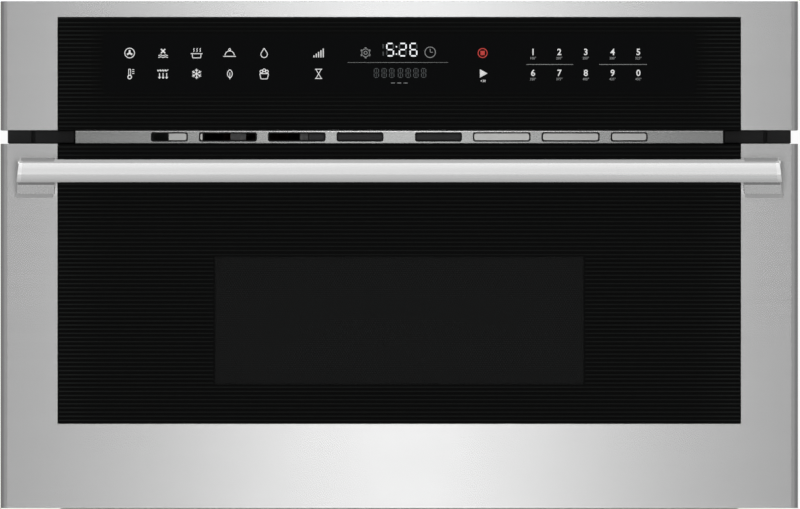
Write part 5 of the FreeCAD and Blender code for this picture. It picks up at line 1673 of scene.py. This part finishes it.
@dataclass
class VentStrip:
    """The slotted strip between the panel and the door."""

    slots: tuple[Point, ...] = ((0.1213, 0.1453), (0.3166, 0.1784), (0.5294, 0.1797), (0.7103, 0.1142))
    slot_height: float = 9.2
    slot_bends: Point = (2.4, 1.9)
    lining: float = 1.4
    set_back: float = 0.3
    lining_depth: float = 0.85
    end_joint: Point = (347.0, 350.2)
    end_gap: float = 1.2
    end_set_back: float = 5.0
    end_edge: float = 0.9
    web_gap: float = 0.1
    cap_sink: float = 0.5
    lip: float = 1.5
    lip_reach: Point = (0.25, 0.6)
    lip_edge: float = 0.2
    shades: tuple[Point, ...] = ((-86.2, -67.5), (-62.4, -12.4), (12.4, 62.4))
    shade_margin: float = 1.4
    shade_set_back: float = 2.6
    shade_depth: float = 3.6
    shade_bow: Point = (0.3, 0.08)
    shade_drop: float = 0.4
    shade_rise: float = 2.1
    stay: Point = (-94.6, -87.0)
    stay_depth: Point = (8.0, 9.0)

    def build(self) -> list[Piece]:
        """Lines the slots, and dresses the strip, its ends and the plates behind it.

        Returns:
            The metal pieces.
        """
        self.strip = Box.of("vent_trim")
        self._linings()
        self._ends()
        # The strip's darker tint is painted shade from its recess.
        dress(VENT_SHADED_METAL, "vent_trim")
        dress(PLATE_METAL, "vent_baffles")
        return [self._lip(), *self._shades(), bpy.data.objects["vent_trim"], bpy.data.objects["vent_baffles"]]

    def _lip(self) -> Piece:
        """Makes the rolled lip along the strip's upper edge, lighter than the strip as a painted highlight.

        Returns:
            The piece.
        """
        low, high = self.strip.low, self.strip.high
        made = Shape()
        made.block(
            (low.x, low.y - self.lip_reach[0], high.z - self.lip),
            (high.x, low.y + self.lip_reach[1], high.z),
        )
        made.bevel(made.sharp(), self.lip_edge, 2)
        return made.piece("vent_lip_highlight", "chassis", LIP_HIGHLIGHT_METAL, "vent_metal")

    def _shades(self) -> list[Piece]:
        """Makes the dark rounded shades behind the middle slots, and a dull stay beside one of them.

        Returns:
            The two pieces.
        """
        low, high = self.strip.low.z + self.shade_margin, self.strip.high.z - self.shade_margin
        face, middle = self.strip.low.y + self.shade_set_back, (low + high) / 2
        back = face + self.shade_depth
        outer, inner = (face + bow for bow in self.shade_bow)
        upper = [(outer, high - self.shade_drop), (inner, middle + self.shade_rise)]
        lower = [(y, 2 * middle - z) for y, z in reversed(upper)]
        shades, stay = Shape(), Shape()
        for left, right in self.shades:
            outline = [(back, low), (back, high), *upper, (face, middle), *lower]
            shades.slab(Plane.SIDE, outline, left, right)
        near, far = (face + depth for depth in self.stay_depth)
        stay.block((self.stay[0], near, low), (self.stay[1], far, high))
        return [
            shades.piece("vent_shades", "chassis", SHADE_METAL, "vent_metal", crisp=50),
            stay.piece("vent_stay", "chassis", PLATE_METAL, "vent_metal"),
        ]

    def _linings(self) -> None:
        """Makes a dark lining round the inside of each slot."""
        middle, half, reach = self.strip.middle()[2], self.slot_height / 2, self.strip.high.x
        made = Shape()
        for share, length in self.slots:
            left, right = ((share + side * length / 2) * reach for side in (-1, 1))
            ends = (left, middle - half), (right, middle + half)
            made.ring(*ends, self.strip.low.y + self.set_back, self.lining, self.slot_bends, self.lining_depth)
        made.mirror()
        made.piece("vent_linings", "chassis", BLACK_PLASTIC, "black_plastic")

    def _ends(self) -> None:
        """Makes the black end pieces: two caps on a recessed web, with a joint between them."""
        box, start = Box.of("vent_ends"), self.strip.high.x
        low, high, web = box.low, box.high, box.low.y + self.end_set_back
        made = Shape()
        made.block((start + self.web_gap, web, low.z), high)
        for left, right in ((start + self.end_gap, self.end_joint[0]), (self.end_joint[1], high.x)):
            cap = Shape()
            cap.block((left, low.y, low.z), (right, web + self.cap_sink, high.z))
            cap.bevel(cap.edges_at(1, low.y), self.end_edge, 3)
            made.join(cap)
        made.mirror()
        made.piece("vent_end_caps", "chassis", SATIN_BLACK, "black_plastic", ["vent_ends"])


@dataclass
class Chassis:
    """The sheet-metal case that goes into the cabinet."""

    louvre_length: float = 44.0
    louvre_pitch: Point = (58.0, 11.0)
    louvre_start: Point = (80.0, 56.0)
    louvre_rows: int = 8
    louvre_columns: int = 4
    hood: tuple[Point, ...] = ((0.0, 2.4), (3.2, -1.2), (3.2, -2.4), (2.3, -2.0), (0.0, 1.0))
    hood_taper: float = 2.6
    hood_edge: float = 0.35
    head: Screw = Screw(4.2, 2.4)
    side_head: Screw = Screw(3.78, 2.4)
    rear_head_inset: float = 8.0
    rear_head_foot: float = 4.5
    cover_head_rise: float = 8.0
    side_head_rise: float = 6.0
    side_head_depths: tuple[float, ...] = (34.0, 180.0, 326.0, 472.0)
    bead_width: float = 22.0
    bead_height: float = 2.6
    side_beads: Place = (-110.0, -30.0, 50.0)
    side_bead_inset: float = 70.0
    top_beads: Point = (90.0, 230.0)
    top_bead_inset: float = 60.0
    frame_half: float = 105.0
    frame_wall: float = 18.0
    frame_bends: Point = (24.0, 6.0)
    frame_edge: float = 2.2
    plate_half: float = 38.0
    plate_rise: float = 1.2
    plate_corner: float = 7.0
    plate_head: Screw = Screw(3.4, 1.7)
    plate_head_half: float = 30.0

    def build(self) -> None:
        """Makes the louvre hoods, the pressings, the inlet plate and the screws, and dresses the case."""
        dress(CHASSIS_ZINC, "base_pan", "left_side_panel", "right_side_panel", "top_cover", "rear_panel")
        dress(BLACK_ENAMEL, "front_frame")
        dress(DARK_RUBBER, "cord_gland")
        self.side, self.top, self.rear = (Box.of(n) for n in ("right_side_panel", "top_cover", "rear_panel"))
        self._hoods()
        self._beads()
        self._rear()
        self._screws()

    def _hoods(self) -> None:
        """Makes a pressed hood over each side louvre."""
        face, reach = self.side.high.x, max(out for out, _ in self.hood)
        made = Shape()
        for row in range(self.louvre_rows):
            top = self.side.high.z - self.louvre_start[1] - row * self.louvre_pitch[1]
            outline = [(face + out, top + up) for out, up in self.hood]
            for column in range(self.louvre_columns):
                far = self.side.high.y - self.louvre_start[0] - column * self.louvre_pitch[0]
                near = far - self.louvre_length
                for vert in made.slab(Plane.FRONT, outline, near, far):
                    end = 1 if vert.co.y > (near + far) / 2 else -1
                    vert.co.y -= end * self.hood_taper * (vert.co.x - face) / reach
        made.bevel(made.sharp(25), self.hood_edge, 2)
        made.mirror()
        made.piece("side_louvre_hoods", "chassis", CHASSIS_ZINC, "galvanised")

    def _beads(self) -> None:
        """Makes the beads that are pressed into the sides and the top."""
        half = self.bead_width / 2
        near, far = self.side_bead_inset, self.side.high.y - self.side_bead_inset
        made = Shape()
        for level in self.side_beads:
            ends = (near, level - half), (far, level + half)
            made.bead(Plane.SIDE, *ends, self.side.high.x, self.bead_height)
        near, far = self.top_bead_inset, self.top.high.y - self.top_bead_inset
        for across in self.top_beads:
            ends = (across - half, near), (across + half, far)
            made.bead(Plane.TOP, *ends, self.top.high.z, self.bead_height)
        made.mirror()
        made.piece("stiffening_beads", "chassis", CHASSIS_ZINC, "galvanised")

    def _rear(self) -> None:
        """Makes a pressed frame in the middle of the rear panel, and the plate round the cord inlet with its screws."""
        face, half, reach = self.rear.high.y, self.frame_half, self.plate_half
        middle = Box.of("convection_motor").middle()[2]
        x, _, z = Box.of("cord_gland").middle()
        frame, plate, screws = Shape(), Shape(), Shape()
        ends = (-half, middle - half), (half, middle + half)
        frame.ring(*ends, face, self.frame_wall, self.frame_bends, self.bead_height)
        outer = [e for e in frame.sharp() if all(v.co.y > face + self.bead_height / 2 for v in e.verts)]
        frame.bevel(outer, self.frame_edge, 4)
        frame.piece("rear_pressing", "chassis", CHASSIS_ZINC, "galvanised")
        ends = (x - reach, z - reach), (x + reach, z + reach)
        plate.bead(Plane.FRONT, *ends, face, self.plate_rise, self.plate_corner)
        out = self.plate_head_half
        for across, up in corners((x - out, z - out), (x + out, z + out)):
            self.plate_head.drive(screws, (across, face + self.plate_rise, up), (0, 1, 0))
        plate.piece("inlet_plate", "chassis", GUIDE_ZINC, "galvanised")
        screws.piece("inlet_screws", "chassis", PLATED, "zinc_screw")

    def _screws(self) -> None:
        """Makes the rear panel's screws, and those along the lips of the top cover and the foot of the sides."""
        half, low, high = self.side.high.x, self.rear.low.z, self.rear.high.z
        made = Shape()
        for x in (half - self.rear_head_inset, half / 3):
            for z in (low + self.rear_head_foot, high - self.rear_head_inset):
                self.head.drive(made, (x, self.rear.high.y, z), (0, 1, 0))
        cover = self.top.high.x, self.top.low.z + self.cover_head_rise
        for y in self.side_head_depths:
            for x, z in (cover, (half, low + self.side_head_rise)):
                self.side_head.drive(made, (x, y, z), (1, 0, 0))
        made.mirror()
        made.piece("case_screws", "chassis", PLATED, "zinc_screw", ["rear_screws"])


@dataclass
class Oven:
    """The cavity, the turntable in it and the hot-air fan behind it."""

    rail_levels: Point = (-75.0, -20.0)
    rail_width: float = 14.0
    rail_rise: float = 3.4
    rail_inset: float = 45.0
    tray_thickness: float = 5.0
    tray_rim: float = 12.0
    tray_lip: float = 2.0
    lip_drops: Point = (1.0, 1.5)
    tray_ribs: tuple[float, ...] = (46.0, 78.0, 110.0, 142.0)
    rib_half: float = 2.2
    rib_rise: float = 0.9
    tray_steps: int = 96
    rivet_inset: float = 6.0
    rivet_radii: Point = (3.6, 2.4)
    rivet_height: float = 1.6
    rivet_edge: float = 0.4
    rivet_sides: int = 20

    def build(self) -> None:
        """Makes the shelf rails, the ribbed tray and the mica's rivets, and dresses the rest."""
        walls = ("cavity_floor", "cavity_ceiling", "cavity_left_wall", "cavity_right_wall", "cavity_rear_wall")
        dress(CAVITY_STEEL, *walls, "convection_grille")
        dress(WHITE_PLASTIC, "drive_coupler", "roller_ring", "roller_1", "roller_2", "roller_3")
        dress(MICA, "waveguide_cover")
        dress(GUIDE_ZINC, "convection_housing", "waveguide")
        dress(HEATER_SHEATH, "convection_heater")
        dress(MACHINED, "convection_fan")
        self._rails()
        self._tray()
        self._rivets()

    def _rails(self) -> None:
        """Makes the shelf rails that are pressed into the two side walls."""
        wall, half = Box.of("cavity_right_wall"), self.rail_width / 2
        near, far = wall.low.y + self.rail_inset, wall.high.y - self.rail_inset
        made = Shape()
        for level in self.rail_levels:
            made.bead(Plane.SIDE, (near, level - half), (far, level + half), wall.low.x, -self.rail_rise)
        made.mirror()
        made.piece("shelf_rails", "chassis", CAVITY_STEEL, "cavity_steel")

    def _tray(self) -> None:
        """Makes the glass tray, with low rings on its upper face."""
        box, thick = Box.of("glass_tray"), self.tray_thickness
        radius, low, rim, face = box.high.x, box.low.z, box.high.z, box.low.z + thick
        ring = ((self.rib_half, 0.0), (0.0, self.rib_rise), (-self.rib_half, 0.0))
        profile = [
            (0.0, low),
            (radius - self.tray_rim, low),
            (radius - self.tray_lip, rim - thick),
            (radius, rim - self.lip_drops[0]),
            (radius - self.tray_lip, rim),
            (radius - thick, rim - self.lip_drops[1]),
            (radius - self.tray_rim - thick, face),
            *((rib + out, face + up) for rib in reversed(self.tray_ribs) for out, up in ring),
            (0.0, face),
        ]
        made = Shape()
        made.lathe(profile, box.middle()[:2], self.tray_steps)
        made.piece("ribbed_tray", "tray", TRAY_GLASS, "clear_glass", ["glass_tray"], crisp=50)

    def _rivets(self) -> None:
        """Makes four plastic rivets that hold the mica sheet to the ceiling."""
        low, high, inset = Box.of("waveguide_cover").low, Box.of("waveguide_cover").high, self.rivet_inset
        wide, narrow = self.rivet_radii
        made = Shape()
        for x in (low.x + inset, high.x - inset):
            for y in (low.y + inset, high.y - inset):
                made.rod((x, y, low.z), (x, y, low.z - self.rivet_height), wide, self.rivet_sides, narrow)
        made.bevel(made.sharp(), self.rivet_edge, 3)
        made.piece("mica_rivets", "chassis", WHITE_PLASTIC, "light_plastic")


@dataclass
class Works:
    """What drives the oven, inside the case."""

    def build(self) -> None:
        """Dresses the motors, the microwave source, the cooling fan, the lamp and the switches."""
        dress(CAN, "magnetron", "capacitor")
        dress(CORE_IRON, "transformer_core")
        dress(RED_WIRE, "transformer_windings")
        dress(MACHINED, "convection_motor", "cooling_motor", "turntable_motor")
        dress(BLACK_PLASTIC, "cooling_fan", "cooling_shroud", "interlock_switches")
        dress(WHITE_PLASTIC, "switch_plunger_left", "switch_plunger_right", "cavity_lamp")


@dataclass
class Counterbalance:
    """The hinges and the cables and springs that hold the door's weight."""

    wire: float = 0.75
    coil: float = 4.75
    turns: int = 24
    tail: float = 3.0
    strand: float = 0.5
    strand_reach: float = 0.45
    strand_phases: Place = (0, 120, 240)
    lay: float = 7.0
    cable_kept: float = 0.625

    def build(self) -> None:
        """Makes the springs and cables, and dresses the hinge pieces."""
        dress(PLATED, "hinge_brackets", "hinge_arms", "spring_carriages")
        self._springs()
        self._cables()

    def _springs(self) -> None:
        """Makes two coils with a straight tail at each end, stretched between the case and the carriages."""
        box, tail = Box.of("door_springs"), self.tail
        x, z = box.high.x - self.coil - self.wire, box.middle()[2]
        near, far = box.low.y, box.high.y
        made = Shape()
        made.helix((x, near + tail, z), (x, far - tail, z), self.coil, self.wire, self.turns)
        for end, way in ((near, 1), (far, -1)):
            made.rod((x, end, z), (x, end + way * (tail + self.wire), z), self.wire)
            made.rod((x, end + way * tail, z), (x + self.coil, end + way * tail, z), self.wire)
        made.mirror()
        piece = made.piece("counter_springs", "", SPRING_WIRE, "wire", ["door_springs"])
        z * MM
        z * MM
        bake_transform(piece)

    def _cables(self) -> None:
        """Makes two wire ropes of three strands that draw in towards the hinge."""
        box = Box.of("door_cables")
        x, z = box.high.x - (box.high.z - box.low.z) / 2, box.middle()[2]
        start, end, turns = (x, box.low.y, z), (x, box.high.y, z), (box.high.y - box.low.y) / self.lay
        made = Shape()
        for phase in self.strand_phases:
            made.helix(start, end, self.strand_reach, self.strand, turns, phase)
        made.mirror()
        piece = made.piece("counter_cables", "chassis", CABLE_WIRE, "wire", ["door_cables"])
        z * MM
        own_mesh(piece)


@dataclass(frozen=True)
class Softbox:
    """A soft rectangular light, in metres and watts."""

    name: str
    place: Place
    target: Place
    size: Point
    power: float

    def build(self, pieces: Sequence[Piece] = ()) -> None:
        """Makes the light.

        Args:
            pieces: The only pieces that it lights, where it doesn't light them all.
        """
        data = bpy.data.lights.new(self.name, "AREA")
        data.shape = "RECTANGLE"
        data.size, data.size_y = self.size
        data.energy = self.power
        made = bpy.data.objects.new(self.name, data)
        made.location = self.place
        made.rotation_euler = (Vector(self.target) - Vector(self.place)).to_track_quat("-Z", "Y").to_euler()
        made.visible_camera = False
        bpy.context.scene.collection.objects.link(made)
        if pieces:
            lit = bpy.data.collections.new(self.name)
            for piece in pieces:
                lit.objects.link(piece)
            made.light_linking.receiver_collection = lit


FRONT_LIGHT = Softbox("before_front", (0, -2.75, 0.04), (0, 0, 0.04), (0.24, 2.2), 3.82)
HANDLE_LIGHT = Softbox("before_handle", (0, -1.68, 0.39), (0, -0.08, 0.39), (8.0, 1.62), 21.6)
ROOM_LIGHTS = (
    Softbox("over_front", (0, -2.4, 2.5), (0, 0, 0), (2.8, 1.2), 6.5),
    Softbox("over_left", (-2.2, 0.2, 2.4), (0, 0.2, 0), (1.6, 1.6), 14),
    Softbox("over_right", (2.2, 0.6, 2.4), (0, 0.2, 0), (1.6, 1.6), 10),
    Softbox("behind", (0.6, 3.4, 2.2), (0, 0.3, 0), (2.4, 1.6), 24),
)


@dataclass
class Studio:
    """The camera and the soft light, in metres, and the pale floor and a low stand, in millimetres."""

    distance: float = 9.0
    view_width: float = 0.7608
    sight: float = 120.0
    aim: Place = (0.0007, -0.044, 0.0412)
    floor: float = -278.0
    floor_half: float = 50000.0
    stand_inset: float = 30.0
    stand_gap: float = 0.2
    stand_edge: float = 3.0
    pale: Colour = grey(0.86)
    backdrop: float = 0.97
    room: float = 0.20
    from_below: float = 0.26
    from_above: float = 0.29
    from_front: float = 0.16
    front_dip: float = 0.08

    def build(self, front_metal: Sequence[Piece], handle: Sequence[Piece]) -> None:
        """Sets the stage.

        Args:
            front_metal: The flat bare metal, which has a narrow light of its own.
            handle: The handle, which has a wide one.
        """
        bpy.context.scene.view_settings.view_transform = "Standard"
        self._camera()
        self._floor()
        self._world()
        FRONT_LIGHT.build(front_metal)
        HANDLE_LIGHT.build(handle)
        for light in ROOM_LIGHTS:
            light.build()

    def _camera(self) -> None:
        """Sets up a long lens square to the front."""
        data = bpy.data.cameras.new("camera")
        data.lens = data.sensor_width * self.distance / self.view_width
        data.clip_end = self.sight
        camera = bpy.data.objects.new("camera", data)
        camera.location = Vector(self.aim) + Vector((0, -self.distance, 0))
        camera.rotation_euler = (math.pi / 2, 0, 0)
        bpy.context.scene.collection.objects.link(camera)
        bpy.context.scene.camera = camera

    def _floor(self) -> None:
        """Makes a wide pale floor, and a low stand under the case so that the door can swing down."""
        paint = StudioPaint("studio_paint", self.pale, self.backdrop)
        base, level, half, inset = Box.of("base_pan"), self.floor, self.floor_half, self.stand_inset
        ground, stand = Shape(), Shape()
        ground.face(Plane.TOP, corners((-half, -half), (half, half)), level)
        stand.block(
            (base.low.x + inset, base.low.y + inset, level),
            (base.high.x - inset, base.high.y - inset, base.low.z - self.stand_gap),
        )
        stand.bevel(stand.sharp(), self.stand_edge, 3)
        for made, name in ((ground, "floor"), (stand, "stand")):
            item = made.as_object(name, paint)
            item.visible_shadow = item.visible_glossy = name == "stand"

    def _world(self) -> None:
        """Makes a pale room, darker where the front looks back at the camera."""
        world = bpy.data.worlds.new("studio")
        world.use_nodes = True
        bpy.context.scene.world = world
        graph = Graph(world.node_tree)
        _, ahead, up = graph.split(graph.coords("Generated"))
        before = 0 - ahead
        below, above = (0 - up).rise(0.05, 0.4) * self.from_below, up.rise(0.25, 0.85) * self.from_above
        front, dip = before.rise(0.15, 0.95) * self.from_front, before.rise(0.80, 0.98) * self.front_dip
        seen = graph.node("ShaderNodeLightPath", output="Is Camera Ray")
        strength = (self.room + below + above + front - dip) * (1 - seen) + seen * self.backdrop
        shader = graph.node("ShaderNodeBackground", None, {"Color": rgba(grey(1.0)), "Strength": strength})
        graph.end("ShaderNodeOutputWorld", shader)


def main() -> None:
    """Builds the looks piece by piece."""
    logging.basicConfig(level=logging.INFO, format="%(name)s %(message)s")
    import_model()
    metal = [*DoorFront().build(), *ControlPanel().build(), *VentStrip().build()]
    handle = BarHandle().build()
    for assembly in (DoorInside(), Chassis(), Oven(), Works(), Counterbalance()):
        assembly.build()
    Studio().build(metal, handle)


if __name__ == "__main__":
    main()
